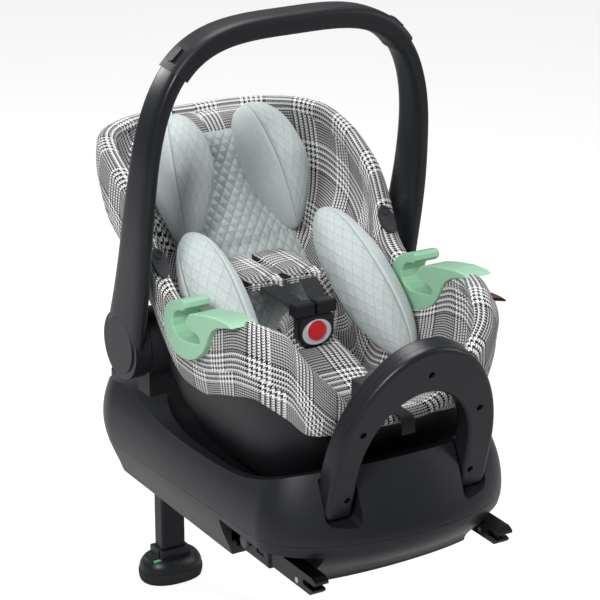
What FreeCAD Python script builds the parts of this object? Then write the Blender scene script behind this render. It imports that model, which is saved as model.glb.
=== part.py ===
"""Infant car seat: a rear-facing carrier with a carrying handle, docked on an anchor base.

The model frame has +Z up, +Y towards the child's head end and +X to the child's left.
Its origin is on the floor, under the middle of the seat. While modelling, places are
given from the anchor line: y = 0 on the two vehicle anchor bars' side, z = 0 at the top
of the connector jaws. Every sub-part's Placement then carries it to the model frame.
"""
import FreeCAD, Part
import math
import os
import Sketcher

Vector = FreeCAD.Vector
Rotation = FreeCAD.Rotation
Placement = FreeCAD.Placement

doc = FreeCAD.newDocument("infant_car_seat")
sheet = doc.addObject("Spreadsheet::Sheet", "Sizes")

# ---------------------------------------------------------------- driving dimensions
# Each row is a cell's alias, its plain value in millimetres or degrees, and what it is.
SIZES = [
    # the frame of the whole seat
    ("anchor_spacing", 280, "distance between the two connectors' middles"),
    ("jaw_height", 320, "floor to the top of the connector jaws"),
    ("middle_y", 336.6, "anchor line to the middle of the whole length"),
    # clearances
    ("running_gap", 0.05, "radial gap of a shaft in its bore"),
    ("slide_gap", 0.4, "gap each side of a sliding piece"),
    ("cloth_gap", 0.6, "gap between a soft piece and what carries it"),
    # base hull
    ("hull_half_width", 183, "half width of the base at its widest line"),
    ("hull_foot_y", -10, "foot end of the base at its widest line"),
    ("hull_head_y", 622, "head end of the base at its widest line"),
    ("hull_foot_round", 103, "depth of the round foot end"),
    ("hull_head_round", 128, "depth of the round head end"),
    ("hull_wide_z", 33, "height of the widest line"),
    ("hull_bottom_z", -41, "underside of the base"),
    ("hull_wall", 3, "wall of the base mouldings"),
    ("seam_z", 33, "height of the base's seam at the anchor line"),
    ("seam_tilt", 3.0, "fall of the seam towards the head end, degrees"),
    ("seam_gap", 0.5, "open joint between cover and housing"),
    ("bed_gap", 9, "room between the carrier and the bed of the base"),
    ("bed_flare", 13, "extra room at the sides of the bed's rim"),
    ("bed_drop", 6, "extra room under the carrier for its docking rods"),
    ("nose_half_width", 84, "half width of the leg housing at the head end"),
    ("nose_head_y", 702, "end of the leg housing"),
    ("nose_top_z", 30, "top of the leg housing"),
    ("nose_round", 20, "corner radius of the leg housing"),
    ("notch_x", 123, "inner side of the recess round a connector"),
    ("notch_head_y", 190, "head end of the recess round a connector"),
    ("notch_top_z", 15, "top of the recess round a connector"),
    ("bay_half_width", 55, "half width of the bay for the folded leg"),
    ("bay_foot_y", 352, "foot end of the bay for the folded leg"),
    ("bay_top_z", 10.5, "top of the bay for the folded leg"),
    # rebound bar
    ("bar_foot_y", 25, "front face of the bar at its foot"),
    ("bar_foot_z", 60, "lowest point of the bar"),
    ("bar_lean", 15.2, "lean of the bar towards the foot end, degrees"),
    ("bar_half_width", 120, "half width over the bar"),
    ("bar_inner_half", 81, "half width of the opening in the bar"),
    ("bar_leg_height", 60, "straight part of each leg"),
    ("bar_rise", 178, "height of the outer arc over the legs"),
    ("bar_inner_rise", 112, "height of the opening's arc over the legs"),
    ("bar_front_depth", 13, "depth of the front shell"),
    ("bar_rear_depth", 17, "depth of the rear shell"),
    ("bar_round", 6, "rounding of the bar's edges"),
    ("bar_foot_round", 9, "corner radius of the bar's feet"),
    ("bar_screw_r", 2.5, "radius of a bar screw"),
    ("bar_screw_head_r", 4.4, "radius of a bar screw's head"),
    ("bar_screw_length", 20, "length of a bar screw under its head"),
    ("bar_screw_sink", 4, "depth of a screw's recess over its head"),
    # frame and leg
    ("rail_x", 67, "middle of a frame rail"),
    ("rail_width", 12, "width of a frame rail"),
    ("rail_top_z", 13, "top of a frame rail"),
    ("rail_bottom_z", -20, "underside of a frame rail"),
    ("rail_foot_y", 225, "foot end of the frame"),
    ("rail_head_y", 692, "head end of the frame"),
    ("leg_y", 672, "middle of the support leg"),
    ("leg_pivot_z", -26, "height of the leg's pivot"),
    ("leg_pin_r", 6, "radius of the leg's pivot pin"),
    ("leg_width", 40, "width of the sliding tube"),
    ("leg_depth", 26, "depth of the sliding tube"),
    ("leg_wall", 2.5, "wall of both tubes"),
    ("leg_outer_top_z", -10, "upper end of the outer tube"),
    ("leg_outer_bottom_z", -165, "lower end of the outer tube"),
    ("leg_inner_top_z", -95, "upper end of the sliding tube"),
    ("collar_height", 24, "height of the collar on the outer tube"),
    ("collar_wall", 5, "wall of the collar"),
    ("foot_half_width", 50, "half width of the foot"),
    ("foot_half_depth", 37, "half depth of the foot"),
    ("foot_sole_height", 17, "height of the foot's sole"),
    ("foot_shell_height", 19, "height of the foot's upper shell"),
    ("leg_button_r", 7, "radius of the leg's height button"),
    ("leg_button_travel", 3, "travel of the leg's height button"),
    # anchor connectors
    ("jaw_width", 20, "width of a connector jaw"),
    ("jaw_lip", 9, "height of the upper jaw"),
    ("jaw_bar_gap", 8, "height of the slot for the anchor bar"),
    ("jaw_under", 8, "height of the lower jaw"),
    ("jaw_slot_depth", 30, "depth of the slot"),
    ("jaw_step", 7, "set-back of the lower jaw"),
    ("jaw_length", 109, "length of the narrow part of a connector"),
    ("block_foot_y", 110, "start of the wide part of a connector"),
    ("block_length", 76, "length of the wide part of a connector"),
    ("block_width", 26, "width of the wide part"),
    ("block_height", 33, "height of the wide part"),
    ("block_top_z", 3, "top of the wide part"),
    ("arm_side", 14, "side of a connector's square steel arm"),
    ("arm_tail_y", 325, "far end of a connector's steel arm"),
    ("guide_foot_y", 252, "start of an arm's guide in the frame"),
    ("guide_length", 46, "length of an arm's guide in the frame"),
    ("guide_wall", 4, "wall of an arm's guide"),
    ("hook_thickness", 5, "thickness of a locking hook"),
    ("hook_y", 45, "pivot of a locking hook from the jaw's tip"),
    ("hook_z", -18, "height of a hook's pivot"),
    ("hook_pivot_r", 4, "radius of a hook's own pivot"),
    ("hook_boss_r", 6.4, "radius of a hook round its pivot"),
    ("hook_reach", 31, "reach of a hook from its pivot"),
    ("release_y", 166, "middle of a connector's release lug"),
    ("release_r", 8.5, "radius of a connector's release lug"),
    ("release_stem", 6, "side of a release lug's square stem"),
    ("release_travel", 8, "travel of a connector's release lug"),
    # docking
    ("rod_r", 4, "radius of a docking rod"),
    ("rod_length", 108, "length of a docking rod"),
    ("rod_foot_y", 190, "docking rod at the foot end"),
    ("rod_head_y", 310, "docking rod at the head end"),
    ("rod_z", 30, "height of the docking rods"),
    ("lug_x", 42, "inner side of a docking lug"),
    ("lug_thickness", 6, "thickness of a docking lug"),
    ("lug_half_length", 9, "half length of a docking lug"),
    ("bolt_width", 24, "width of the docking bolt"),
    ("bolt_thickness", 4, "thickness of the docking bolt"),
    ("bolt_open_gap", 1.5, "room between the open bolt and the rod"),
    ("bolt_rise", 1, "room between the bolt and the rod under it"),
    ("bolt_end_y", 640, "end of the docking bolt in its handle"),
    ("pull_width", 70, "width of the docking release handle"),
    ("pull_depth", 34, "depth of the docking release handle"),
    ("pull_height", 13, "height of the docking release handle"),
    # carrier
    ("shell_bottom_z", 40, "underside of the carrier shell"),
    ("shell_half_width", 190, "half width of the carrier's form"),
    ("shell_foot_y", 30, "foot end of the carrier's form"),
    ("shell_head_y", 594, "head end of the carrier's form"),
    ("shell_wall", 3.5, "wall of the carrier shell"),
    ("foam_wall", 12, "thickness of the foam liner"),
    ("cover_wall", 4, "thickness of the fabric cover with its padding"),
    ("rim_drop", 8, "height of the cover's roll over the shell's rim"),
    ("lip_z", 178, "top of the foot lip under the child's knees"),
    ("lip_half_width", 66, "half width of the low part of the foot lip"),
    # handle
    ("hub_y", 391, "handle axis from the anchor line"),
    ("hub_z", 196, "height of the handle axis"),
    ("hub_r", 47, "radius of the handle's hub"),
    ("hub_inner_x", 193, "inner face of the handle's hub"),
    ("hub_outer_x", 216, "outer face of the handle's hub"),
    ("cap_r", 38, "radius of a hub's cap"),
    ("cap_sink", 5, "depth of the cap's recess"),
    ("cap_stand", 2, "stand of the cap over the hub"),
    ("boss_r", 44, "radius of the fixed hub"),
    ("boss_face_x", 191, "face of the fixed hub"),
    ("hub_pin_r", 8, "radius of a handle pin"),
    ("hub_pin_length", 34, "length of a handle pin"),
    ("arch_half_width", 208, "half width of the handle arch on its middle line"),
    ("arch_spring_z", 318, "height where the arch starts to curve in"),
    ("arch_top_z", 626, "height of the arch's middle line"),
    ("arch_top_y", 313, "middle line of the arch's top, from the anchor line"),
    ("arch_foot_width", 88, "width of the handle's arms at the hub"),
    ("arch_top_width", 43, "width of the handle at its top"),
    ("arm_thickness", 19.5, "thickness of the handle's arms"),
    ("grip_thickness", 25, "thickness of the handle under its grip"),
    ("sleeve_thickness", 3, "thickness of the soft grip round the handle"),
    ("sleeve_reach", 0.36, "end of the soft grip, as a share of the arch from its top"),
    ("arch_button_angle", 36, "place of the release buttons round the arch"),
    ("arch_button_length", 22, "length of a handle release button"),
    ("arch_button_width", 14, "width of a handle release button"),
    ("arch_button_depth", 11, "depth of a handle release button"),
    ("arch_button_travel", 3, "travel of a handle release button"),
    ("tab_width", 14, "width of a hub's adapter tab"),
    ("tab_thickness", 10, "thickness of a hub's adapter tab"),
    ("tab_length", 16, "length of a hub's adapter tab"),
    ("tab_travel", 4, "travel of a hub's adapter tab"),
    ("socket_width", 34, "width of an adapter socket"),
    ("socket_height", 40, "height of an adapter socket"),
    ("socket_face_x", 182, "face of an adapter socket"),
    ("socket_slot_width", 18, "width of an adapter socket's slot"),
    ("socket_slot_depth", 8, "depth of an adapter socket's slot"),
    # inside the carrier
    ("back_foot_y", 345, "face of the back pad at its foot"),
    ("back_foot_z", 125, "height of the back pad's face at its foot"),
    ("back_angle", 55.7, "slope of the back rest, degrees"),
    ("back_length", 366, "length of the back pad"),
    ("back_half_width", 108, "half width of the back pad"),
    ("back_thickness", 7, "thickness of the back pad"),
    ("seat_angle", 12, "rise of the seat towards the knees, degrees"),
    ("seat_foot_z", 113, "height of the seat's carrier under the back's foot"),
    ("seat_length", 165, "length of the seat pad"),
    ("seat_half_width", 62, "half width of the seat pad"),
    ("seat_thickness", 20, "thickness of the seat pad"),
    ("head_pad_start", 186, "start of the head pad along the back"),
    ("head_pad_length", 166, "length of the head pad"),
    ("head_pad_half", 100, "half width of the head pad"),
    ("head_pad_thickness", 8, "thickness of the head pad"),
    ("wing_start", 285, "middle of a head wing along the back"),
    ("wing_long", 94, "half length of a head wing"),
    ("wing_thick", 38, "half thickness of a head wing"),
    ("wing_deep", 80, "half depth of a head wing"),
    ("wing_x", 72, "middle of a head wing"),
    ("wing_off", 20, "head wing's middle off the back"),
    ("wing_turn", 8, "lean of the head wings towards each other, degrees"),
    ("bolster_long", 126, "half length of a side bolster"),
    ("bolster_thick", 40, "half thickness of a side bolster"),
    ("bolster_deep", 40, "half depth of a side bolster"),
    ("bolster_x", 112, "middle of a side bolster"),
    ("bolster_y", 304, "middle of a side bolster from the anchor line"),
    ("bolster_z", 252, "height of a side bolster's middle"),
    ("strap_width", 25, "width of the harness webbing"),
    ("strap_thickness", 2, "thickness of the harness webbing"),
    ("strap_x", 30, "middle of a shoulder strap"),
    ("shoulder_z", 268, "height of the shoulder straps"),
    ("shoulder_pad_foot_y", 317, "foot end of a shoulder pad"),
    ("shoulder_pad_width", 52, "width of a shoulder pad"),
    ("shoulder_pad_length", 112, "length of a shoulder pad"),
    ("shoulder_pad_thickness", 20, "thickness of a shoulder pad"),
    ("crotch_pad_width", 88, "width of the crotch pad"),
    ("crotch_pad_round", 18, "corner radius of the crotch pad"),
    ("buckle_y", 243, "front of the buckle's body"),
    ("buckle_z", 223, "middle of the buckle"),
    ("buckle_half_width", 27, "half width of the buckle"),
    ("buckle_half_height", 21, "half height of the buckle"),
    ("buckle_depth", 14, "depth of the buckle's body"),
    ("buckle_face_depth", 3, "depth of the buckle's face"),
    ("buckle_button_r", 13, "radius of the buckle's button"),
    ("buckle_button_travel", 3, "travel of the buckle's button"),
    ("tongue_thickness", 2.5, "thickness of the buckle's tongues"),
    ("tongue_depth", 18, "depth of a tongue's housing"),
    ("tongue_x", 16.5, "middle of a tongue's housing"),
    ("tongue_half_width", 14.5, "half width of a tongue's housing"),
    ("tongue_height", 17, "height of a tongue's housing"),
    ("adjuster_half_width", 12, "half width of the harness adjuster's button"),
    ("adjuster_foot_y", 110, "foot end of the harness adjuster's button"),
    ("adjuster_length", 28, "length of the harness adjuster's button"),
    ("adjuster_top_z", 194, "top of the harness adjuster's button"),
    ("adjuster_depth", 26, "height of the harness adjuster's button"),
    ("adjuster_travel", 4, "travel of the harness adjuster's button"),
    ("adjuster_drop", 22, "hanging length of the adjuster strap"),
    ("guide_x", 157, "inner face of a belt guide"),
    ("guide_thickness", 38.5, "thickness of a belt guide"),
    ("guide_slot_z", 258, "height of the belt slot's middle"),
    ("guide_slot", 12, "height of a belt guide's slot"),
    ("hood_x", 176, "middle of a hood mount"),
    ("hood_thickness", 6, "thickness of a hood mount"),
    ("hood_sink", 2, "depth of a hood mount in the cover"),
    ("hood_slope", 47, "slope of a hood mount along the rim, degrees"),
    ("hood_y", 349, "middle of a hood mount from the anchor line"),
    ("hood_z", 316, "height of the rim under a hood mount's middle"),
    ("hood_half_length", 21, "half length of a hood mount"),
    ("hood_half_width", 11, "half width of a hood mount"),
]


class Size:
    """A dimension as its present value and as an expression of the sheet's cells."""

    def __init__(self, value, text):
        self.value = float(value)
        self.text = text

    def __float__(self):
        return self.value

    def __neg__(self):
        return Size(-self.value, "-(%s)" % self.text)

    def __add__(self, other):
        other = as_size(other)
        return Size(self.value + other.value, "(%s + %s)" % (self.text, other.text))

    def __sub__(self, other):
        other = as_size(other)
        return Size(self.value - other.value, "(%s - %s)" % (self.text, other.text))

    def __mul__(self, other):
        other = as_size(other)
        return Size(self.value * other.value, "(%s * %s)" % (self.text, other.text))

    def __truediv__(self, other):
        other = as_size(other)
        return Size(self.value / other.value, "(%s / %s)" % (self.text, other.text))

    def __radd__(self, other):
        return as_size(other) + self

    def __rsub__(self, other):
        return as_size(other) - self

    def __rmul__(self, other):
        return as_size(other) * self


def as_size(number):
    """A plain number as a Size, so that both mix freely."""
    return number if isinstance(number, Size) else Size(number, "%.6g" % number)


class Dimensions:
    """Every driving dimension by its alias."""


def fill_sheet():
    """Writes the driving dimensions into the spreadsheet and reads them back by alias."""
    for row, (alias, value, meaning) in enumerate(SIZES, start=1):
        sheet.set("A%d" % row, meaning)
        sheet.set("B%d" % row, str(value))
        sheet.setAlias("B%d" % row, alias)
    doc.recompute()
    dims = Dimensions()
    for alias, _value, _meaning in SIZES:
        setattr(dims, alias, Size(sheet.get(alias), "Sizes.%s" % alias))
    return dims


S = fill_sheet()
NODES = []
SIDES = (("left", 1), ("right", -1))
FAR = 900.0


# ---------------------------------------------------------------- helpers for objects
def bind(obj, name, dimension):
    """Sets a property of an object from an expression of the sheet's cells."""
    obj.setExpression(name, as_size(dimension).text)


def finish(obj, label):
    """Names a sub-part and carries it from the anchor line to the model frame."""
    if not obj.Placement.isIdentity():
        obj = group(label + "_moved", obj)
    obj.Label = label
    obj.Placement = Placement(Vector(0, -float(S.middle_y), float(S.jaw_height)), Rotation())
    bind(obj, "Placement.Base.y", -S.middle_y)
    bind(obj, "Placement.Base.z", S.jaw_height)
    NODES.append(obj)
    return obj


def feature(shape, label):
    """A sub-part of a form that only a loft or a section between lofts can give."""
    if shape.isNull() or shape.Volume <= 0:
        raise RuntimeError("empty form: " + label)
    if not shape.Placement.isIdentity():
        shape = Part.makeCompound([shape])
    obj = doc.addObject("Part::Feature", label)
    obj.Shape = shape
    return finish(obj, label)


def form(shape, name):
    """A loft as an object that other objects cut or join."""
    obj = doc.addObject("Part::Feature", name)
    obj.Shape = shape
    return obj


def side_range(sign, pair):
    """A range of X given for the +X side, moved to the side asked for."""
    low, high = as_size(pair[0]), as_size(pair[1])
    return (low, high) if sign > 0 else (-high, -low)


def box(name, x, y, z):
    """A box between two corners, each range as low and high."""
    obj = doc.addObject("Part::Box", name)
    obj.Placement = Placement(Vector(*[float(as_size(pair[0])) for pair in (x, y, z)]),
                              Rotation())
    for prop, place, pair in (("Length", "x", x), ("Width", "y", y), ("Height", "z", z)):
        low, high = as_size(pair[0]), as_size(pair[1])
        bind(obj, prop, high - low)
        bind(obj, "Placement.Base." + place, low)
    return obj


AXIS_TURN = {
    "x": Rotation(Vector(0, 1, 0), 90),
    "y": Rotation(Vector(1, 0, 0), -90),
    "z": Rotation(),
}


def cylinder(name, radius, length, start, axis="z"):
    """A cylinder that runs from its start along +X, +Y or +Z."""
    obj = doc.addObject("Part::Cylinder", name)
    obj.Placement = Placement(Vector(), AXIS_TURN[axis])
    bind(obj, "Radius", radius)
    bind(obj, "Height", length)
    for place, coordinate in zip("xyz", start):
        bind(obj, "Placement.Base." + place, coordinate)
    return obj


def cut(name, base, *tools):
    """The base less its tools."""
    tool = tools[0] if len(tools) == 1 else fuse(name + "_tools", *tools)
    obj = doc.addObject("Part::Cut", name)
    obj.Base = base
    obj.Tool = tool
    return obj


def fuse(name, *shapes):
    """Several forms as one."""
    obj = doc.addObject("Part::MultiFuse", name)
    obj.Shapes = list(shapes)
    return obj


def group(name, *shapes):
    """Several separate solids in one sub-part."""
    obj = doc.addObject("Part::Compound", name)
    obj.Links = list(shapes)
    return obj


# ---------------------------------------------------------------- helpers for bodies
def new_body(name):
    """An empty body for sketches and features."""
    return doc.addObject("PartDesign::Body", name)


def sketch_on(body, name, role, offset=None):
    """A sketch on one of a body's own origin planes, moved along the plane's normal."""
    sketch = body.newObject("Sketcher::SketchObject", name)
    plane = [item for item in body.Origin.OriginFeatures if item.Role == role][0]
    sketch.AttachmentSupport = [(plane, "")]
    sketch.MapMode = "FlatFace"
    if offset is not None:
        bind(sketch, "AttachmentOffset.Base.z", offset)
    return sketch


def pin_point(sketch, geometry, vertex, point):
    """Holds a sketch's point at its distances from the origin."""
    for kind, coordinate in (("DistanceX", point[0]), ("DistanceY", point[1])):
        coordinate = as_size(coordinate)
        if abs(coordinate.value) < 1e-9:
            held = "PointOnObject"
            axis = -2 if kind == "DistanceX" else -1
            sketch.addConstraint(Sketcher.Constraint(held, geometry, vertex, axis))
            continue
        index = sketch.addConstraint(
            Sketcher.Constraint(kind, -1, 1, geometry, vertex, coordinate.value))
        sketch.setExpression("Constraints[%d]" % index, coordinate.text)


def polygon(sketch, points):
    """A closed outline of straight lines with every corner held by the sheet's sizes."""
    places = [Vector(float(as_size(x)), float(as_size(y)), 0) for x, y in points]
    first = sketch.GeometryCount
    count = len(places)
    for index, place in enumerate(places):
        sketch.addGeometry(Part.LineSegment(place, places[(index + 1) % count]), False)
    for index in range(count):
        following = first + (index + 1) % count
        sketch.addConstraint(Sketcher.Constraint("Coincident", first + index, 2, following, 1))
    for index, point in enumerate(points):
        pin_point(sketch, first + index, 1, point)


def circle(sketch, centre, radius):
    """A circle with its centre and radius held by the sheet's sizes."""
    x, y, radius = as_size(centre[0]), as_size(centre[1]), as_size(radius)
    geometry = sketch.addGeometry(
        Part.Circle(Vector(x.value, y.value, 0), Vector(0, 0, 1), radius.value), False)
    pin_point(sketch, geometry, 3, (x, y))
    index = sketch.addConstraint(Sketcher.Constraint("Radius", geometry, radius.value))
    sketch.setExpression("Constraints[%d]" % index, radius.text)


def add_pad(body, sketch, length, symmetric=False, flip=False):
    """Pads a sketch by a length of the sheet."""
    pad = body.newObject("PartDesign::Pad", sketch.Name + "_pad")
    pad.Profile = sketch
    bind(pad, "Length", length)
    pad.SideType = "Symmetric" if symmetric else "One side"
    pad.Reversed = flip
    doc.recompute()
    return pad


def add_pocket(body, sketch, length, symmetric=False, flip=False):
    """Cuts a sketch into a body and makes sure that something was cut."""
    before = body.Shape.Volume
    pocket = body.newObject("PartDesign::Pocket", sketch.Name + "_pocket")
    pocket.Profile = sketch
    bind(pocket, "Length", length)
    pocket.SideType = "Symmetric" if symmetric else "One side"
    pocket.Reversed = flip
    doc.recompute()
    if body.Shape.Volume > before - 0.01:
        raise RuntimeError("pocket cuts nothing: " + sketch.Name)
    return pocket


def add_fillet(body, base, radius, chosen):
    """Rounds the edges of the last feature that a test picks."""
    names = ["Edge%d" % (n + 1) for n, edge in enumerate(base.Shape.Edges) if chosen(edge)]
    fillet = body.newObject("PartDesign::Fillet", base.Name + "_round")
    fillet.Base = (base, names)
    bind(fillet, "Radius", radius)
    doc.recompute()
    return fillet


def flat_at(axis, level, tolerance=0.01):
    """A test for edges that lie wholly at one level of an axis."""
    def chosen(edge):
        limits = edge.BoundBox
        low, high = (getattr(limits, axis.upper() + "Min"), getattr(limits, axis.upper() + "Max"))
        return abs(low - level) < tolerance and abs(high - level) < tolerance
    return chosen


# ---------------------------------------------------------------- outlines and lofts
def closed_curve(points, pattern=None):
    """A smooth closed wire through points, spaced along its parameter as a pattern is."""
    pattern = pattern or points
    places = [0.0]
    for index, point in enumerate(pattern):
        step = pattern[(index + 1) % len(pattern)].distanceToPoint(point)
        places.append(places[-1] + math.sqrt(step))
    curve = Part.BSplineCurve()
    curve.interpolate(Points=points, PeriodicFlag=True, Parameters=places)
    return Part.Wire([curve.toShape()])


def boat_points(level, half_width, ends, centre, powers, count=9):
    """Points round a boat shape: a half superellipse at either end of its widest place."""
    right = []
    for end, power in zip(ends, powers):
        for step in range(count + 1):
            angle = 0.5 * math.pi * step / count
            x = half_width * math.sin(angle) ** (2 / power)
            y = centre + (end - centre) * math.cos(angle) ** (2 / power)
            right.append((x, y))
    outline = right[:count + 1] + list(reversed(right[count + 1:]))[1:]
    mirror = [(-x, y) for x, y in reversed(outline[1:-1])]
    return [Vector(x, y, level) for x, y in outline + mirror]


BOAT_PATTERN = boat_points(0.0, 180.0, (30.0, 482.0), 280.0, (4.6, 2.6))


def boat_outline(level, half_width, ends, centre, powers):
    """The boat shape as a smooth wire that lofts evenly with its neighbours."""
    return closed_curve(boat_points(level, half_width, ends, centre, powers), BOAT_PATTERN)


def stadium_outline(level, half_width, ends, centres):
    """A plan with straight sides and an elliptic half at either end."""
    corners = [Vector(half_width, centres[0], level), Vector(half_width, centres[1], level),
               Vector(-half_width, centres[1], level), Vector(-half_width, centres[0], level)]
    edges = []
    for centre, end, first, last in ((centres[1], ends[1], corners[1], corners[2]),
                                     (centres[0], ends[0], corners[3], corners[0])):
        tip = Vector(0, end, level)
        shoulder = math.sqrt(0.5)
        reach = end - centre
        before = Vector(math.copysign(half_width * shoulder, first.x),
                        centre + reach * shoulder, level)
        ellipse = elliptic(level, half_width, centre, reach)
        edges.append(span(ellipse, first, tip, before))
        after = Vector(-before.x, before.y, level)
        edges.append(span(ellipse, tip, last, after))
        if centre == centres[1]:
            edges.append(Part.makeLine(corners[2], corners[3]))
        else:
            edges.append(Part.makeLine(corners[0], corners[1]))
    return Part.Wire(edges)


def elliptic(level, half_width, centre, reach):
    """A full ellipse in plan, whichever of its two axes is the longer."""
    middle = Vector(0, centre, level)
    along_x, along_y = Vector(half_width, centre, level), Vector(0, centre + abs(reach), level)
    if half_width >= abs(reach):
        return Part.Ellipse(along_x, along_y, middle)
    return Part.Ellipse(along_y, Vector(-half_width, centre, level), middle)


def span(ellipse, first, last, between):
    """The part of an ellipse from one place to another that passes a third."""
    start, end = ellipse.parameter(first), ellipse.parameter(last)
    low, high = min(start, end), max(start, end)
    arc = Part.ArcOfEllipse(ellipse, low, high)
    if arc.toShape().distToShape(Part.Vertex(between))[0] > 0.01:
        arc = Part.ArcOfEllipse(ellipse, high, low + 2 * math.pi)
    return arc.toShape()


def float_list(*numbers):
    """Sizes and numbers as plain numbers."""
    return [float(as_size(number)) for number in numbers]


def hull(grow=0.0):
    """The base's main form between its underside and the height over its rims."""
    half, foot, head, foot_round, head_round, wide, low = float_list(
        S.hull_half_width, S.hull_foot_y, S.hull_head_y, S.hull_foot_round,
        S.hull_head_round, S.hull_wide_z, S.hull_bottom_z)
    # level, narrowing of the half width, set-back of the foot end and of the head end
    stations = [
        (low - grow, 22, 67, 47), (low + 0.42 * (wide - low), 10, 32, 22), (wide, 0, 0, 0),
        (wide + 17, 0, 3, 3), (wide + 45, 5, 13, 14), (wide + 75, 17, 25, 30),
        (wide + 125, 33, 58, 58)]
    centres = (foot + foot_round, head - head_round)
    wires = []
    for level, narrow, foot_in, head_in in stations:
        ends = (foot + foot_in - grow, head - head_in + grow)
        wires.append(stadium_outline(level, half - narrow + grow, ends, centres))
    return Part.makeLoft(wires, True, False)


def nose(grow=0.0):
    """The housing of the support leg at the head end."""
    half, head, top, low, corner = float_list(
        S.nose_half_width, S.nose_head_y, S.nose_top_z, S.hull_bottom_z, S.nose_round)
    solid = Part.makeBox(2 * (half + grow), head + grow - 500, top - low + 2 * grow,
                         Vector(-half - grow, 500, low - grow))
    uprights = [edge for edge in solid.Edges
                if edge.BoundBox.ZLength > 1 and edge.BoundBox.YMin > head + grow - 1]
    return solid.makeFillet(corner + grow, uprights)


# height, half width, foot end, widest place and head end of the carrier's form
TUB_STATIONS = [
    (40, 75, 160, 250, 335), (52, 105, 130, 250, 370), (85, 135, 98, 255, 440),
    (130, 155, 66, 262, 462), (180, 170, 38, 270, 472), (240, 180, 30, 280, 482),
    (290, 184, 42, 300, 508), (335, 190, 180, 400, 538), (385, 190, 300, 440, 568),
    (430, 185, 340, 455, 588), (475, 172, 380, 470, 594)]


def tub(grow=0.0, sides=0.0, head_end=0.0, drop=0.0):
    """The carrier's own form, grown outwards, with extra room at its sides and below."""
    half, foot, head, low = float_list(
        S.shell_half_width, S.shell_foot_y, S.shell_head_y, S.shell_bottom_z)
    wires = []
    for index, (level, width, foot_y, widest, head_y) in enumerate(TUB_STATIONS):
        extra = sides if index > 1 else 0.0
        level = low - grow - drop if index == 0 else level + low - 40
        width = width + half - 190 + grow + extra
        ends = (foot_y + foot - 30 - grow, head_y + head - 594 + grow + head_end)
        wires.append(boat_outline(level, width, ends, widest, (4.6, 2.6)))
    return Part.makeLoft(wires, True, False)


def above_line(points, half_width=400.0):
    """A solid over a smooth line in the YZ plane, across the whole width."""
    curve = Part.BSplineCurve()
    curve.interpolate([Vector(-half_width, y, z) for y, z in points])
    first, last = points[0], points[-1]
    corners = [Vector(-half_width, last[0], last[1]), Vector(-half_width, last[0], FAR),
               Vector(-half_width, first[0], FAR), Vector(-half_width, first[0], first[1])]
    edges = [curve.toShape()]
    edges += [Part.makeLine(a, b) for a, b in zip(corners, corners[1:])]
    return Part.Face(Part.Wire(edges)).extrude(Vector(2 * half_width, 0, 0))


def prism(points, x0, x1):
    """A straight-sided outline in the YZ plane, as a solid between two values of X."""
    places = [Vector(x0, y, z) for y, z in points]
    return Part.Face(Part.makePolygon(places + places[:1])).extrude(Vector(x1 - x0, 0, 0))


def block(x, y, z):
    """A plain block between two corners."""
    x, y, z = float_list(*x), float_list(*y), float_list(*z)
    return Part.makeBox(x[1] - x[0], y[1] - y[0], z[1] - z[0], Vector(x[0], y[0], z[0]))


def rod_x(radius, x0, x1, y, z):
    """A round bar along X."""
    radius, x0, x1, y, z = float_list(radius, x0, x1, y, z)
    return Part.makeCylinder(radius, x1 - x0, Vector(x0, y, z), Vector(1, 0, 0))


# ---------------------------------------------------------------- base mouldings
BASE_RIM = [(-80, 130), (20, 129), (60, 117), (110, 100), (160, 90), (230, 85), (300, 84),
            (400, 92), (460, 101), (500, 97), (560, 80), (620, 70), (760, 62)]


def over_seam(lift):
    """Everything over the base's tilted seam."""
    slope = math.tan(math.radians(float(S.seam_tilt)))
    return above_line([(y, float(S.seam_z) - slope * y + lift) for y in (-100, 200, 500, 800)])


def bed(grow=0.0):
    """The hollow that the carrier stands in."""
    room = float(S.cloth_gap + S.cover_wall + S.bed_gap) + grow
    return tub(room, float(S.bed_flare), float(S.bed_flare), float(S.bed_drop))


def bar_pockets(grow=0.0):
    """The two recesses in the base that the bar's legs stand in."""
    gap = 1.0 + grow
    depth = float(S.bar_front_depth + S.bar_rear_depth)
    solids = []
    for _side, sign in SIDES:
        low, high = sorted((sign * (float(S.bar_inner_half) - 4.0 - gap),
                            sign * (float(S.bar_half_width) + gap)))
        solid = Part.makeBox(high - low, depth + gap + 60, 170 + gap, Vector(low, -60, -gap))
        feet = [edge for edge in solid.Edges
                if edge.BoundBox.YLength > 1 and edge.BoundBox.ZMax < 0]
        solid = solid.makeFillet(float(S.bar_foot_round) + gap, feet)
        solid.rotate(Vector(), Vector(1, 0, 0), float(S.bar_lean))
        solid.translate(Vector(0, float(S.bar_foot_y), float(S.bar_foot_z)))
        solids.append(solid)
    return solids[0].fuse(solids[1])


def connector_notches(grow=0.0):
    """The open recesses at the foot end, round the two connectors."""
    solids = []
    for _side, sign in SIDES:
        low, high = sorted((sign * (float(S.notch_x) - grow), sign * 260))
        solids.append(block((low, high), (-80, S.notch_head_y + grow),
                            (-200, S.notch_top_z + grow)))
    return solids[0].fuse(solids[1])


def leg_bay(grow=0.0):
    """The bay under the base that the folded leg lies in."""
    return block((-S.bay_half_width - grow, S.bay_half_width + grow),
                 (S.bay_foot_y - grow, S.nose_head_y - S.hull_wall - 0.0),
                 (-200, S.bay_top_z + grow))


def bolt_slot(gap):
    """The way through the base for the docking bolt."""
    half = S.bolt_width / 2 + gap
    low = S.rod_z + S.rod_r + S.bolt_rise - gap
    return block((-half, half), (S.rod_head_y, S.bolt_end_y + 20),
                 (low, low + S.bolt_thickness + 2 * gap))


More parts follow.
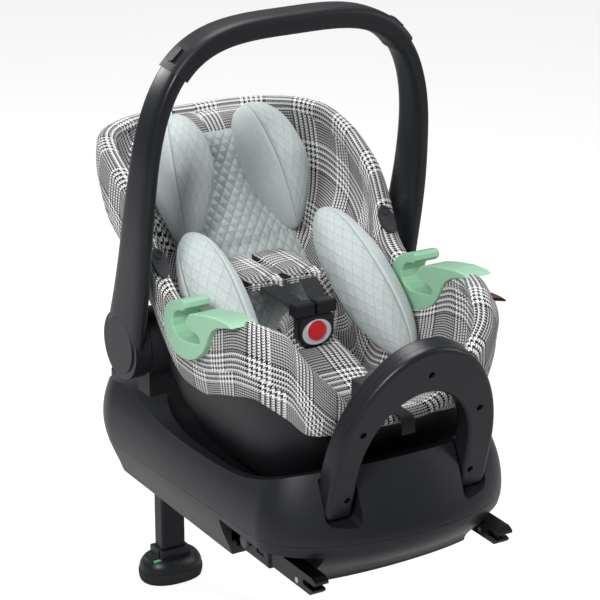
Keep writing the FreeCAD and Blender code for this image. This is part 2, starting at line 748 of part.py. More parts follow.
def base_mouldings():
    """The upper cover with its bed and the lower housing with its bays."""
    wall = float(S.hull_wall)
    outside = hull().fuse(nose())
    inside = hull(-wall).fuse(nose(-wall))
    rim = above_line(BASE_RIM)
    rim_inside = above_line([(y, z - wall) for y, z in BASE_RIM])
    half_gap = float(S.seam_gap) / 2
    pan = bed(wall).common(outside).cut(rim)
    hollow = inside.cut(rim_inside).cut(bed(wall)).cut(bar_pockets(wall))
    upper = outside.cut(rim).common(over_seam(half_gap)).cut(hollow)
    upper = upper.fuse(pan).cut(bed()).cut(bar_pockets()).cut(bolt_slot(S.slide_gap))
    biggest = sorted(upper.Solids, key=lambda solid: solid.Volume)[-1]
    feature(biggest, "base_upper_cover")

    below = outside.cut(over_seam(-half_gap))
    hollow = inside.cut(connector_notches(wall)).cut(leg_bay(2.5))
    lower = below.cut(hollow).cut(connector_notches()).cut(leg_bay())
    lower = lower.cut(bed(wall + 0.5)).cut(bar_pockets(wall + 0.5))
    reach = float(S.rail_x + S.rail_width / 2) + 4
    lower = lower.cut(rod_x(S.leg_pin_r + 0.3, -reach, reach, S.leg_y, S.leg_pivot_z))
    for _side, sign in SIDES:
        middle = sign * S.anchor_spacing / 2
        half = S.block_width / 2 + 1
        lower = lower.cut(block((middle - half, middle + half),
                                (S.notch_head_y - 10, S.notch_head_y + 20),
                                (S.block_top_z - S.block_height - 1, S.block_top_z + 1)))
        button = side_range(sign, (S.anchor_spacing / 2, S.anchor_spacing / 2
                                   + S.block_width / 2 + S.release_r))
        arm_z = -S.jaw_lip - S.jaw_bar_gap / 2
        lower = lower.cut(block(button, (S.notch_head_y - 10, S.notch_head_y + 20),
                                (arm_z - S.release_r - 1, arm_z + S.release_r + 1)))
        rail = sign * S.rail_x
        for post_y in (300, 560):
            post = Part.makeCylinder(6, float(S.rail_bottom_z - S.hull_bottom_z) - 1.2,
                                     Vector(float(rail), post_y, float(S.hull_bottom_z) + 1))
            bore = Part.makeCylinder(2.6, 60, Vector(float(rail), post_y, -60))
            seat = Part.makeCylinder(4.8, 8, Vector(float(rail), post_y, float(S.hull_bottom_z) - 4))
            lower = lower.fuse(post).cut(bore).cut(seat)
    biggest = sorted(lower.Solids, key=lambda solid: solid.Volume)[-1]
    feature(biggest, "base_lower_housing")


def base_frame():
    """The welded steel frame in the base: rails, cross beam, arm guides and leg plates."""
    parts = []
    tools = []
    half = S.rail_width / 2
    for side, sign in SIDES:
        x = side_range(sign, (S.rail_x - half, S.rail_x + half))
        parts.append(box("rail_" + side, x, (S.rail_foot_y, S.rail_head_y),
                         (S.rail_bottom_z, S.rail_top_z)))
        parts.append(box("leg_plate_" + side, x, (S.leg_y - 20, S.rail_head_y),
                         (S.leg_pivot_z - S.leg_pin_r - 5, S.rail_top_z)))
        reach = S.anchor_spacing / 2
        wide = S.arm_side / 2 + S.slide_gap + S.guide_wall
        middle_z = -S.jaw_bar_gap / 2 - S.jaw_lip
        guide = side_range(sign, (reach - wide, reach + wide))
        along = (S.guide_foot_y, S.guide_foot_y + S.guide_length)
        parts.append(box("guide_" + side, guide, along, (middle_z - wide, middle_z + wide)))
        arm = S.arm_side / 2 + S.slide_gap
        channel = side_range(sign, (reach - arm, reach + arm))
        tools.append(box("guide_channel_" + side, channel, (200, 400),
                         (middle_z - arm, middle_z + arm)))
        bridge = side_range(sign, (S.rail_x, reach - wide + 1))
        parts.append(box("bridge_" + side, bridge, (S.guide_foot_y + 8, S.guide_foot_y + 30),
                         (middle_z - 9, middle_z + 9)))
        for index, post_y in enumerate((300, 560)):
            tools.append(cylinder("rail_tap_%s_%d" % (side, index), 2.55, 10,
                                  (sign * S.rail_x, post_y, S.rail_bottom_z - 1)))
    parts.append(box("cross_beam", (-S.rail_x, S.rail_x), (S.rail_foot_y, S.rail_foot_y + 22),
                     (S.rail_bottom_z, S.rail_top_z)))
    tools.append(cylinder("leg_pin_bore", S.leg_pin_r + S.running_gap, 200,
                          (-100, S.leg_y, S.leg_pivot_z), "x"))
    finish(cut("frame_form", fuse("frame_parts", *parts), *tools), "base_frame")
    screws = []
    for side, sign in SIDES:
        for index, post_y in enumerate((300, 560)):
            start = (sign * S.rail_x, post_y, S.hull_bottom_z + 0.5)
            head = cylinder("base_screw_head_%s_%d" % (side, index), 4.4, 3, start)
            shank = cylinder("base_screw_shank_%s_%d" % (side, index), 2.5,
                             S.rail_bottom_z - S.hull_bottom_z + 6, start)
            screws.append(fuse("base_screw_%s_%d" % (side, index), head, shank))
    finish(group("base_screw_set", *screws), "base_screws")


# ---------------------------------------------------------------- rebound bar
def bar_outline(sketch):
    """The bar's arch in its own leaning plane: two legs and two half ellipses."""
    outer, inner, leg, rise, inner_rise = float_list(
        S.bar_half_width, S.bar_inner_half, S.bar_leg_height, S.bar_rise, S.bar_inner_rise)
    spring = Vector(0, leg, 0)
    big = Part.Ellipse(Vector(0, leg + rise, 0), Vector(-outer, leg, 0), spring)
    small = Part.Ellipse(Vector(0, leg + inner_rise, 0), Vector(-inner, leg, 0), spring)
    corners = [Vector(-outer, leg, 0), Vector(-outer, 0, 0), Vector(-inner, 0, 0),
               Vector(-inner, leg, 0)]
    for a, b in zip(corners, corners[1:]):
        sketch.addGeometry(Part.LineSegment(a, b), False)
        sketch.addGeometry(Part.LineSegment(Vector(-a.x, a.y, 0), Vector(-b.x, b.y, 0)), False)
    for ellipse in (big, small):
        sketch.addGeometry(Part.ArcOfEllipse(ellipse, -math.pi / 2, math.pi / 2), False)


def bar_screw_places():
    """The five screws of the bar, as X and the height along the leaning bar."""
    leg = S.bar_leg_height
    middle = (S.bar_half_width + S.bar_inner_half) / 2
    places = [(0, leg + (S.bar_rise + S.bar_inner_rise) / 2 - 4)]
    for _side, sign in SIDES:
        places.append((sign * (middle - 8), leg / 2))
        places.append((sign * (middle - 14), leg + 70))
    return places


def at_bar_foot(edge):
    """True for the four corner edges under the bar's feet."""
    box_of = edge.BoundBox
    return box_of.YLength > 1 and box_of.ZMax < 0.01 and box_of.XLength < 0.01


def lean(obj):
    """Sets a piece of the bar at the bar's foot, leaning towards the foot end."""
    obj.Placement = Placement(Vector(), Rotation(Vector(1, 0, 0), float(S.bar_lean)))
    bind(obj, "Placement.Base.y", S.bar_foot_y - S.middle_y)
    bind(obj, "Placement.Base.z", S.bar_foot_z + S.jaw_height)
    bind(obj, "Placement.Rotation.Angle", S.bar_lean)
    NODES.append(obj)


def rebound_bar():
    """The padded-looking arch at the foot end, in two screwed shells."""
    for label, start, depth in (
            ("rebound_bar_front", as_size(0), S.bar_front_depth),
            ("rebound_bar_rear", S.bar_front_depth + S.slide_gap,
             S.bar_rear_depth - S.slide_gap)):
        body = new_body(label)
        outline = sketch_on(body, label + "_outline", "XZ_Plane", -start)
        bar_outline(outline)
        pad = add_pad(body, outline, depth, flip=True)
        pad = add_fillet(body, pad, S.bar_foot_round, at_bar_foot)
        front = label == "rebound_bar_front"
        level = 0.0 if front else float(start + depth)
        add_fillet(body, pad, S.bar_round if front else S.bar_round * 0.6,
                   flat_at("y", level))
        holes = sketch_on(body, label + "_holes", "XZ_Plane")
        for place in bar_screw_places():
            circle(holes, place, S.bar_screw_r + S.slide_gap / 2)
        reach = S.bar_screw_sink + 3 + S.bar_screw_length + 1
        add_pocket(body, holes, reach, flip=False)
        if front:
            sinks = sketch_on(body, label + "_sinks", "XZ_Plane")
            for place in bar_screw_places():
                circle(sinks, place, S.bar_screw_head_r + S.slide_gap / 2)
            add_pocket(body, sinks, S.bar_screw_sink + 3, flip=False)
        lean(body)
        body.Label = label
    screws = []
    for index, (x, height) in enumerate(bar_screw_places()):
        head = cylinder("bar_screw_head_%d" % index, S.bar_screw_head_r, 3 - 0.1,
                        (x, S.bar_screw_sink, height), "y")
        shank = cylinder("bar_screw_shank_%d" % index, S.bar_screw_r,
                         S.bar_screw_length + 3, (x, S.bar_screw_sink, height), "y")
        cross = box("bar_screw_cross_%d" % index, (as_size(x) - 2.5, as_size(x) + 2.5),
                    (S.bar_screw_sink - 1, S.bar_screw_sink + 1.5),
                    (height - 0.6, height + 0.6))
        screws.append(cut("bar_screw_%d" % index,
                          fuse("bar_screw_parts_%d" % index, head, shank), cross))
    screw_set = group("bar_screw_set", *screws)
    screw_set.Label = "rebound_bar_screws"
    lean(screw_set)


# ---------------------------------------------------------------- support leg
def rounded_tube(body, label, width, depth, low, high, corner):
    """A rounded rectangular bar along Z as the first pad of a body."""
    outline = sketch_on(body, label + "_outline", "XY_Plane", low)
    half_x, half_y = width / 2, depth / 2
    polygon(outline, [(-half_x, S.leg_y - half_y), (half_x, S.leg_y - half_y),
                      (half_x, S.leg_y + half_y), (-half_x, S.leg_y + half_y)])
    pad = add_pad(body, outline, high - low)
    uprights = add_fillet(body, pad, corner, lambda edge: edge.BoundBox.ZLength > 1)
    return uprights


def bore_tube(body, label, width, depth, low, high):
    """Hollows a tube right through."""
    outline = sketch_on(body, label + "_bore", "XY_Plane", low - 1)
    half_x, half_y = width / 2, depth / 2
    polygon(outline, [(-half_x, S.leg_y - half_y), (half_x, S.leg_y - half_y),
                      (half_x, S.leg_y + half_y), (-half_x, S.leg_y + half_y)])
    return add_pocket(body, outline, high - low + 2, flip=True)


def cross_bore(body, label, radius, height):
    """A hole through a tube along X at a height."""
    hole = sketch_on(body, label + "_cross", "YZ_Plane")
    circle(hole, (S.leg_y, height), radius)
    return add_pocket(body, hole, 300, symmetric=True)


def support_leg():
    """The folding, telescopic leg with its collar, button and foot."""
    clear = S.slide_gap * 2
    inner_w, inner_d = S.leg_width + clear, S.leg_depth + clear
    outer_w, outer_d = inner_w + 2 * S.leg_wall, inner_d + 2 * S.leg_wall

    pin = cylinder("pin_form", S.leg_pin_r, 2 * S.rail_x + S.rail_width + 4,
                   (-S.rail_x - S.rail_width / 2 - 2, S.leg_y, S.leg_pivot_z), "x")
    finish(pin, "leg_pivot_pin")

    body = new_body("leg_outer_tube")
    rounded_tube(body, "outer", outer_w, outer_d, S.leg_outer_bottom_z, S.leg_outer_top_z, 5)
    bore_tube(body, "outer", inner_w, inner_d, S.leg_outer_bottom_z, S.leg_outer_top_z)
    cross_bore(body, "outer", S.leg_pin_r + S.running_gap, S.leg_pivot_z)
    button = sketch_on(body, "outer_button_hole", "XZ_Plane", -S.leg_y)
    circle(button, (0, S.leg_outer_bottom_z + S.collar_height / 2), S.leg_button_r + S.slide_gap)
    add_pocket(body, button, 60, flip=False)
    finish(body, "leg_outer_tube")

    body = new_body("leg_collar")
    low = S.leg_outer_bottom_z - 3
    high = low + S.collar_height + 6
    wide, deep = outer_w + 2 * S.collar_wall, outer_d + 2 * S.collar_wall
    rounded_tube(body, "collar", wide, deep, low, high, 8)
    bore_tube(body, "collar", outer_w + S.slide_gap, outer_d + S.slide_gap, low, high)
    hole = sketch_on(body, "collar_button_hole", "XZ_Plane", -S.leg_y)
    circle(hole, (0, S.leg_outer_bottom_z + S.collar_height / 2), S.leg_button_r + S.slide_gap)
    add_pocket(body, hole, 60, flip=False)
    finish(body, "leg_collar")

    start = S.leg_y + S.leg_depth / 2 + S.slide_gap + S.leg_button_travel
    button = cylinder("leg_button_form", S.leg_button_r,
                      S.leg_wall + S.collar_wall + 4 - S.leg_button_travel + 2,
                      (0, start, S.leg_outer_bottom_z + S.collar_height / 2), "y")
    finish(button, "leg_height_button")

    floor = -S.jaw_height
    top = floor + S.foot_sole_height
    body = new_body("leg_inner_tube")
    rounded_tube(body, "inner", S.leg_width, S.leg_depth, top + 3, S.leg_inner_top_z, 4)
    bore_tube(body, "inner", S.leg_width - 2 * S.leg_wall, S.leg_depth - 2 * S.leg_wall,
              top + 3, S.leg_inner_top_z)
    finish(body, "leg_inner_tube")

    def oval(name, grow, low, height):
        """An oval plate round the leg's middle, as a scaled cylinder."""
        wires = []
        for level, extra in ((low, grow[0]), (low + height * 0.5, grow[1]), (low + height, grow[2])):
            half_x = float(S.foot_half_width) + extra
            half_y = float(S.foot_half_depth) + extra
            middle = float(S.leg_y)
            wires.append(boat_outline(level, half_x, (middle - half_y, middle + half_y),
                                      middle, (2.3, 2.3)))
        return form(Part.makeLoft(wires, True, False), name)

    sole = oval("sole_form", (-2.0, 0.0, 0.0), float(floor), float(S.foot_sole_height))
    finish(sole, "foot_sole")
    shell_low = float(top) + 0.4
    shell = oval("foot_shell_oval", (-1.0, -2.5, -9.0), shell_low, float(S.foot_shell_height))
    neck = box("foot_neck", (-S.leg_width / 2 - 5, S.leg_width / 2 + 5),
               (S.leg_y - S.leg_depth / 2 - 5, S.leg_y + S.leg_depth / 2 + 5),
               (top + 3, top + S.foot_shell_height + 14))
    bore = box("foot_socket", (-S.leg_width / 2 - 0.3, S.leg_width / 2 + 0.3),
               (S.leg_y - S.leg_depth / 2 - 0.3, S.leg_y + S.leg_depth / 2 + 0.3),
               (top + 2.7, top + 90))
    windows = []
    for index, (x, y) in enumerate(((-30, -14), (30, 14))):
        windows.append(box("foot_window_%d" % index, (x - 6.2, x + 6.2),
                           (S.leg_y + y - 4.2, S.leg_y + y + 4.2),
                           (top + S.foot_shell_height - 8, top + 60)))
    finish(cut("foot_shell_form", fuse("foot_shell_parts", shell, neck), bore, *windows),
           "foot_shell")
    lights = []
    for index, (x, y) in enumerate(((-30, -14), (30, 14))):
        lights.append(box("foot_light_%d" % index, (x - 6, x + 6),
                          (S.leg_y + y - 4, S.leg_y + y + 4),
                          (top + S.foot_shell_height - 7.8, top + S.foot_shell_height - 0.5)))
    finish(group("foot_light_set", *lights), "foot_indicators")


# ---------------------------------------------------------------- anchor connectors
def connector(side, sign):
    """One anchor connector: steel arm with its jaws, housing, hook and release lug."""
    middle = sign * S.anchor_spacing / 2
    low = -S.jaw_lip - S.jaw_bar_gap - S.jaw_under
    slot_top, slot_low = -S.jaw_lip, -S.jaw_lip - S.jaw_bar_gap
    arm_z = -S.jaw_lip - S.jaw_bar_gap / 2
    half = S.arm_side / 2

    body = new_body("isofix_arm_" + side)
    profile = sketch_on(body, "arm_profile_" + side, "YZ_Plane", middle)
    end = S.jaw_slot_depth
    polygon(profile, [
        (0, slot_top + 1), (0, -4), (8, 0), (S.jaw_length, 0), (S.jaw_length, low),
        (S.jaw_step + 5, low), (S.jaw_step, low + 4), (S.jaw_step, slot_low - 1),
        (S.jaw_step + 5, slot_low), (end - 3, slot_low), (end, slot_low + 3),
        (end, slot_top - 3), (end - 3, slot_top), (6, slot_top)])
    add_pad(body, profile, S.jaw_width, symmetric=True)
    bar = sketch_on(body, "arm_bar_" + side, "YZ_Plane", middle)
    polygon(bar, [(S.jaw_length - 5, arm_z - half), (S.arm_tail_y, arm_z - half),
                  (S.arm_tail_y, arm_z + half), (S.jaw_length - 5, arm_z + half)])
    add_pad(body, bar, S.arm_side, symmetric=True)
    slit = sketch_on(body, "arm_slit_" + side, "YZ_Plane", middle)
    polygon(slit, [(S.hook_y - S.hook_reach - 2, low - 1), (S.hook_y + S.hook_boss_r + 1.5, low - 1),
                   (S.hook_y + S.hook_boss_r + 1.5, slot_top - 1),
                   (S.hook_y - S.hook_reach - 2, slot_top - 1)])
    add_pocket(body, slit, S.hook_thickness + 2 * S.slide_gap, symmetric=True)
    bore = sketch_on(body, "arm_hook_bore_" + side, "YZ_Plane", middle)
    circle(bore, (S.hook_y, S.hook_z), S.hook_pivot_r + S.running_gap)
    add_pocket(body, bore, S.jaw_width + 2, symmetric=True)
    finish(body, "isofix_arm_" + side)

    body = new_body("isofix_hook_" + side)
    shape = sketch_on(body, "hook_shape_" + side, "YZ_Plane", middle)
    tip = S.hook_y - S.hook_reach
    polygon(shape, [(tip, low + 1.5), (S.hook_y, low + 0.6), (S.hook_y + 2, S.hook_z),
                    (S.hook_y, slot_low - 0.8), (tip + 6, slot_low - 0.6), (tip, slot_low - 3)])
    add_pad(body, shape, S.hook_thickness, symmetric=True)
    boss = sketch_on(body, "hook_boss_" + side, "YZ_Plane", middle)
    circle(boss, (S.hook_y, S.hook_z), S.hook_boss_r)
    add_pad(body, boss, S.hook_thickness, symmetric=True)
    axle = sketch_on(body, "hook_axle_" + side, "YZ_Plane", middle)
    circle(axle, (S.hook_y, S.hook_z), S.hook_pivot_r)
    add_pad(body, axle, S.jaw_width, symmetric=True)
    finish(body, "isofix_hook_" + side)

    wide = S.block_width / 2
    housing = box("housing_" + side, (middle - wide, middle + wide),
                  (S.block_foot_y, S.block_foot_y + S.block_length),
                  (S.block_top_z - S.block_height, S.block_top_z))
    rounded = doc.addObject("Part::Fillet", "housing_round_" + side)
    rounded.Base = housing
    doc.recompute()
    rounded.Edges = [(n + 1, 3.0, 3.0) for n, edge in enumerate(housing.Shape.Edges)
                     if edge.BoundBox.YLength > 1 or edge.BoundBox.ZLength > 1]
    channel = half + 0.3
    hole = box("housing_channel_" + side, (middle - channel, middle + channel),
               (S.block_foot_y - 1, S.block_foot_y + S.block_length + 1),
               (arm_z - channel, arm_z + channel))
    stem = S.release_stem / 2
    reach = S.release_travel
    slot = box("housing_slot_" + side,
               side_range(sign, (S.anchor_spacing / 2 + half, S.anchor_spacing / 2 + wide + 1)),
               (S.release_y - stem - reach - S.slide_gap, S.release_y + stem + S.slide_gap),
               (arm_z - stem - S.slide_gap, arm_z + stem + S.slide_gap))
    window = box("housing_window_" + side,
                 side_range(sign, (S.anchor_spacing / 2 + wide - 1.6, S.anchor_spacing / 2 + wide + 1)),
                 (S.block_foot_y + 12, S.block_foot_y + 30), (arm_z - 5, arm_z + 7))
    finish(cut("housing_form_" + side, rounded, hole, slot, window), "isofix_housing_" + side)

    outer = S.anchor_spacing / 2 + wide
    x = side_range(sign, (outer + 0.4, outer + 5))
    knob = cylinder("release_knob_" + side, S.release_r, 4.6, (x[0], S.release_y, arm_z), "x")
    stem_box = box("release_stem_" + side,
                   side_range(sign, (outer - wide + half + 0.6, outer + 1)),
                   (S.release_y - stem, S.release_y + stem), (arm_z - stem, arm_z + stem))
    finish(fuse("release_form_" + side, knob, stem_box), "isofix_release_" + side)


# ---------------------------------------------------------------- docking latch
def docking():
    """The rods under the carrier, the bolt in the base and its release handle."""
    rods = [cylinder("rod_" + name, S.rod_r, S.rod_length, (-S.rod_length / 2, y, S.rod_z), "x")
            for name, y in (("foot", S.rod_foot_y), ("head", S.rod_head_y))]
    finish(group("rod_pair", *rods), "docking_rods")
    low = S.rod_z + S.rod_r + S.bolt_rise
    high = low + S.bolt_thickness
    body = new_body("docking_latch")
    outline = sketch_on(body, "bolt_outline", "XY_Plane", low)
    half = S.bolt_width / 2
    start = S.rod_head_y + S.rod_r + S.bolt_open_gap
    polygon(outline, [(-half + 5, start), (half - 5, start), (half, start + 8),
                      (half, S.bolt_end_y), (-half, S.bolt_end_y), (-half, start + 8)])
    add_pad(body, outline, S.bolt_thickness)
    finish(body, "docking_latch")
    pull = box("pull_block", (-S.pull_width / 2, S.pull_width / 2),
               (S.hull_head_y + S.hull_wall + 8, S.hull_head_y + S.hull_wall + 8 + S.pull_depth),
               (S.nose_top_z + 2, S.nose_top_z + 2 + S.pull_height))
    rounded = doc.addObject("Part::Fillet", "pull_round")
    rounded.Base = pull
    doc.recompute()
    rounded.Edges = [(n + 1, 6.0, 6.0) for n, edge in enumerate(pull.Shape.Edges)
                     if edge.BoundBox.ZLength > 1]
    socket = box("pull_socket", (-half - 0.3, half + 0.3),
                 (S.hull_head_y, S.bolt_end_y + 0.3), (low - 0.3, high + 0.3))
    finish(cut("pull_form", rounded, socket), "release_handle")


# ---------------------------------------------------------------- carrier
# the top of the rim from the foot end to the head end
RIM_LINE = [(-80, 225), (34, 238), (49, 273), (61, 291), (89, 299), (142, 304), (151, 301),
            (201, 279), (244, 273), (303, 277), (347, 311), (383, 367), (403, 389),
            (448, 417), (478, 430), (509, 440), (556, 446), (640, 449)]
# the lower edge of the fabric cover
HEM_LINE = [(-80, 175), (28, 175), (60, 190), (100, 208), (121, 211), (160, 196), (228, 173),
            (290, 174), (335, 205), (362, 245), (391, 250), (428, 263), (454, 296),
            (486, 341), (522, 393), (548, 408), (660, 410)]


def over_rim(drop=0.0):
    """Everything over the carrier's rim line, with the low lip at the foot end."""
    lip, half = float(S.lip_z) - drop, float(S.lip_half_width)
    solid = above_line([(y, z - drop) for y, z in RIM_LINE])
    dip = [(-half, lip), (half, lip), (half + 46, lip + 72), (half + 84, lip + 126),
           (half + 84, FAR), (-half - 84, FAR), (-half - 84, lip + 126), (-half - 46, lip + 72)]
    places = [Vector(x, -60, z) for x, z in dip]
    face = Part.Face(Part.makePolygon(places + places[:1]))
    return solid.fuse(face.extrude(Vector(0, 205, 0)))


def along_back(distance, off=0.0):
    """A place in the YZ plane along the back's face and off it towards the child."""
    angle = math.radians(float(S.back_angle))
    y = float(S.back_foot_y) + distance * math.cos(angle) - off * math.sin(angle)
    z = float(S.back_foot_z) + distance * math.sin(angle) + off * math.cos(angle)
    return y, z


def interior(inset, behind, under):
    """The room inside a layer of the liner, in front of the back and over the seat."""
    back = math.radians(float(S.back_angle))
    rise = math.tan(math.radians(float(S.seat_angle)))
    corner_y, corner_z = along_back(0.0, -behind)
    seat_z = float(S.seat_foot_z) - under
    # the place where the layer's back line meets its seat line
    slope = math.tan(back)
    meet_y = (seat_z + rise * float(S.back_foot_y) - corner_z + slope * corner_y) / (slope + rise)
    meet_z = corner_z + slope * (meet_y - corner_y)
    top_y = corner_y + (FAR - corner_z) / slope
    foot_z = meet_z + rise * (meet_y + 200)
    wedge = prism([(meet_y, meet_z), (top_y, FAR), (-200, FAR), (-200, foot_z)], -400, 400)
    return tub(-inset).common(wedge)


def largest(shape):
    """The main solid of a form, without any chips that a cut left."""
    return sorted(shape.Solids, key=lambda solid: solid.Volume)[-1]


def belt_guide_points():
    """The side outline of a belt guide: a saddle over the rim with a slot under its finger."""
    half, middle = float(S.guide_slot) / 2, float(S.guide_slot_z)
    finger = [(126, 302), (134, 306), (162, 304.5), (200, 297), (226, 290), (236, 286),
              (244, 278), (246, 273)]
    slot = [(240, middle + half + 4), (226, middle + half + 1), (216, middle + half),
            (210, middle + half - 2), (208, middle), (210, middle - half + 2),
            (216, middle - half), (240, middle - half - 5), (260, middle - half - 7),
            (272, middle - half - 3), (280, middle - half + 4), (281, middle + half + 2),
            (277, middle + half + 10), (268, middle + half + 17)]
    knob = [(252, 285), (246, 291), (247, 297), (252, 300), (262, 298), (284, 289),
            (298, 279), (305, 266), (304, 250), (298, 236), (288, 226), (274, 220)]
    under = [(256, 219), (238, 222), (220, 230), (204, 242), (193, 256), (186, 270),
             (178, 281), (164, 290), (146, 296)]
    return finger + slot + knob + under, finger[:6] + knob[1:] + under


def guide_pocket():
    """The room in the rim for both belt guides and the belt that crosses in them."""
    gap = float(S.slide_gap)
    low, high = float(S.guide_x) - 6.0, float(S.guide_x + S.guide_thickness) + 6.0
    solids = []
    for x in (low, -high):
        places = [Vector(x, y, z) for y, z in belt_guide_points()[1]]
        face = Part.Face(Part.makePolygon(places + places[:1])).makeOffset2D(gap)
        solids.append(face.extrude(Vector(high - low, 0, 0)))
    return solids[0].fuse(solids[1])


def hood_form(sign, grow=0.0):
    """An oval plate that lies along the rim, for a sun hood's arm."""
    long_half = float(S.hood_half_length) + grow
    wide = float(S.hood_half_width) + grow
    low = -float(S.hood_sink) - grow
    centre = Vector(0, 0, low)
    ellipse = Part.Ellipse(centre + Vector(0, long_half, 0), centre + Vector(wide, 0, 0), centre)
    solid = Part.Face(Part.Wire([ellipse.toShape()]))
    solid = solid.extrude(Vector(0, 0, float(S.hood_thickness) + 2 * grow))
    solid.rotate(Vector(), Vector(1, 0, 0), float(S.hood_slope))
    solid.translate(Vector(sign * float(S.hood_x), float(S.hood_y), float(S.hood_z)))
    return solid


def hub_bores(radius):
    """Round ways through both sides at the handle's axis."""
    bore = rod_x(radius, 100, 260, S.hub_y, S.hub_z)
    return bore.fuse(rod_x(radius, -260, -100, S.hub_y, S.hub_z))


def adjuster_hole(gap):
    """The way through the liner for the harness adjuster's button."""
    half = S.adjuster_half_width + gap
    return block((-half, half), (S.adjuster_foot_y - gap, S.adjuster_foot_y + S.adjuster_length + gap),
                 (S.adjuster_top_z - S.adjuster_depth - S.adjuster_travel - 2, 300))


def carrier():
    """The carrier's moulded shell, its foam liner and its fabric cover."""
    wall = float(S.shell_wall)
    cloth = float(S.cloth_gap)
    cover = float(S.cover_wall)
    drop = float(S.rim_drop)

    shell = tub().cut(tub(-wall)).cut(over_rim(drop)).cut(guide_pocket())
    for _side, sign in SIDES:
        for rod_y in (S.rod_foot_y, S.rod_head_y):
            x = side_range(sign, (S.lug_x, S.lug_x + S.lug_thickness))
            lug = block(x, (rod_y - S.lug_half_length, rod_y + S.lug_half_length),
                        (S.rod_z - S.rod_r - 3, S.shell_bottom_z + wall * 0.8))
            shell = shell.fuse(lug)
    for rod_y in (S.rod_foot_y, S.rod_head_y):
        shell = shell.cut(rod_x(S.rod_r + S.running_gap, -70, 70, rod_y, S.rod_z))
    feature(largest(shell), "carrier_shell")

    foam_out = wall + cloth
    foam_in = foam_out + float(S.foam_wall)
    cover_out = foam_in + cloth
    cover_in = cover_out + cover
    back = float(S.back_thickness) + cloth
    foam = tub(-foam_out).cut(interior(foam_in, back + cover + cloth, cover + cloth))
    foam = foam.cut(over_rim(drop)).cut(guide_pocket()).cut(adjuster_hole(2.0))
    # the liner's own wall and its back and seat plates leave a hollow that is open below
    plate = float(S.foam_wall)
    hollow = tub(-foam_in).cut(interior(foam_in - 1, back + cover + cloth + plate,
                                        cover + cloth + plate))
    half, foot_y, head_y = float_list(S.lug_x + 6, S.rod_foot_y - 15, S.rod_head_y - 8)
    foam = foam.cut(hollow).cut(block((-half, half), (foot_y, head_y),
                                      (S.shell_bottom_z, S.shell_bottom_z + 45)))
    foam = foam.cut(hood_form(1, cloth)).cut(hood_form(-1, cloth))
    feature(largest(foam), "foam_liner")

    wrapped = tub(cloth).cut(interior(cover_out, back + cover, cover))
    wrapped = wrapped.cut(over_rim(cover + cloth))
    skin = tub(cloth + cover).cut(over_rim()).cut(wrapped).cut(interior(cover_in, back, 0.0))
    under_hem = block((-500, 500), (-300, 900), (-400, 800)).cut(above_line(HEM_LINE, 600.0))
    skin = skin.cut(under_hem.cut(tub(-wall / 2)))
    skin = skin.cut(guide_pocket()).cut(adjuster_hole(1.0)).cut(hub_bores(S.boss_r + 1))
    skin = skin.cut(hood_form(1, cloth)).cut(hood_form(-1, cloth))
    feature(largest(skin), "seat_cover")


def hubs():
    """The fixed hubs on the shell with their adapter sockets, tabs and pins."""
    clear = tub(0.3)
    bosses = []
    tabs = {}
    for side, sign in SIDES:
        x = [float(v) for v in side_range(sign, (110, S.boss_face_x))]
        boss = rod_x(S.boss_r, x[0], x[1], S.hub_y, S.hub_z)
        x = side_range(sign, (110, S.socket_face_x))
        socket = block(x, (S.hub_y - S.socket_width / 2, S.hub_y + S.socket_width / 2),
                       (S.hub_z - S.boss_r - S.socket_height + 8, S.hub_z - 20))
        x = side_range(sign, (S.socket_face_x - 3 - S.socket_slot_depth, S.socket_face_x - 3))
        slot = block(x, (S.hub_y - S.socket_slot_width / 2, S.hub_y + S.socket_slot_width / 2),
                     (S.hub_z - S.boss_r - S.socket_height, S.hub_z - S.boss_r - 6))
        x = [float(v) for v in side_range(sign, (S.boss_face_x - 20, S.boss_face_x + 1))]
        bore = rod_x(S.hub_pin_r + S.running_gap, x[0], x[1], S.hub_y, S.hub_z)
        # the adapter tab slides towards the axis in a pocket at the upper head end
        def tab_block(low, high, half, x_pair):
            solid = block(side_range(sign, x_pair), (low, high), (-half, half))
            solid.rotate(Vector(), Vector(1, 0, 0), 45)
            solid.translate(Vector(0, float(S.hub_y), float(S.hub_z)))
            return solid
        gap = S.slide_gap
        tab_x = (S.boss_face_x - S.tab_thickness - 4, S.boss_face_x - 4)
        pocket_x = (S.boss_face_x - S.tab_thickness - 4 - gap, S.boss_face_x - 4 + gap)
        outer = S.boss_r + S.tab_travel + 1
        tabs[side] = tab_block(outer - S.tab_length, outer, S.tab_width / 2, tab_x)
        pocket = tab_block(outer - S.tab_length - S.tab_travel - 1, outer + 5,
                           S.tab_width / 2 + gap, pocket_x)
        bosses.append(boss.fuse(socket).cut(slot).cut(bore).cut(pocket).cut(clear))
    feature(Part.makeCompound([largest(boss) for boss in bosses]), "hub_bosses")
    for side, _sign in SIDES:
        feature(tabs[side], "adapter_release_" + side)
    pins = []
    for side, sign in SIDES:
        start = S.hub_outer_x - S.cap_sink - 0.5
        x = side_range(sign, (start - S.hub_pin_length, start))
        pins.append(cylinder("hub_pin_" + side, S.hub_pin_r, S.hub_pin_length,
                             (x[0], S.hub_y, S.hub_z), "x"))
    finish(group("hub_pin_pair", *pins), "hub_pins")


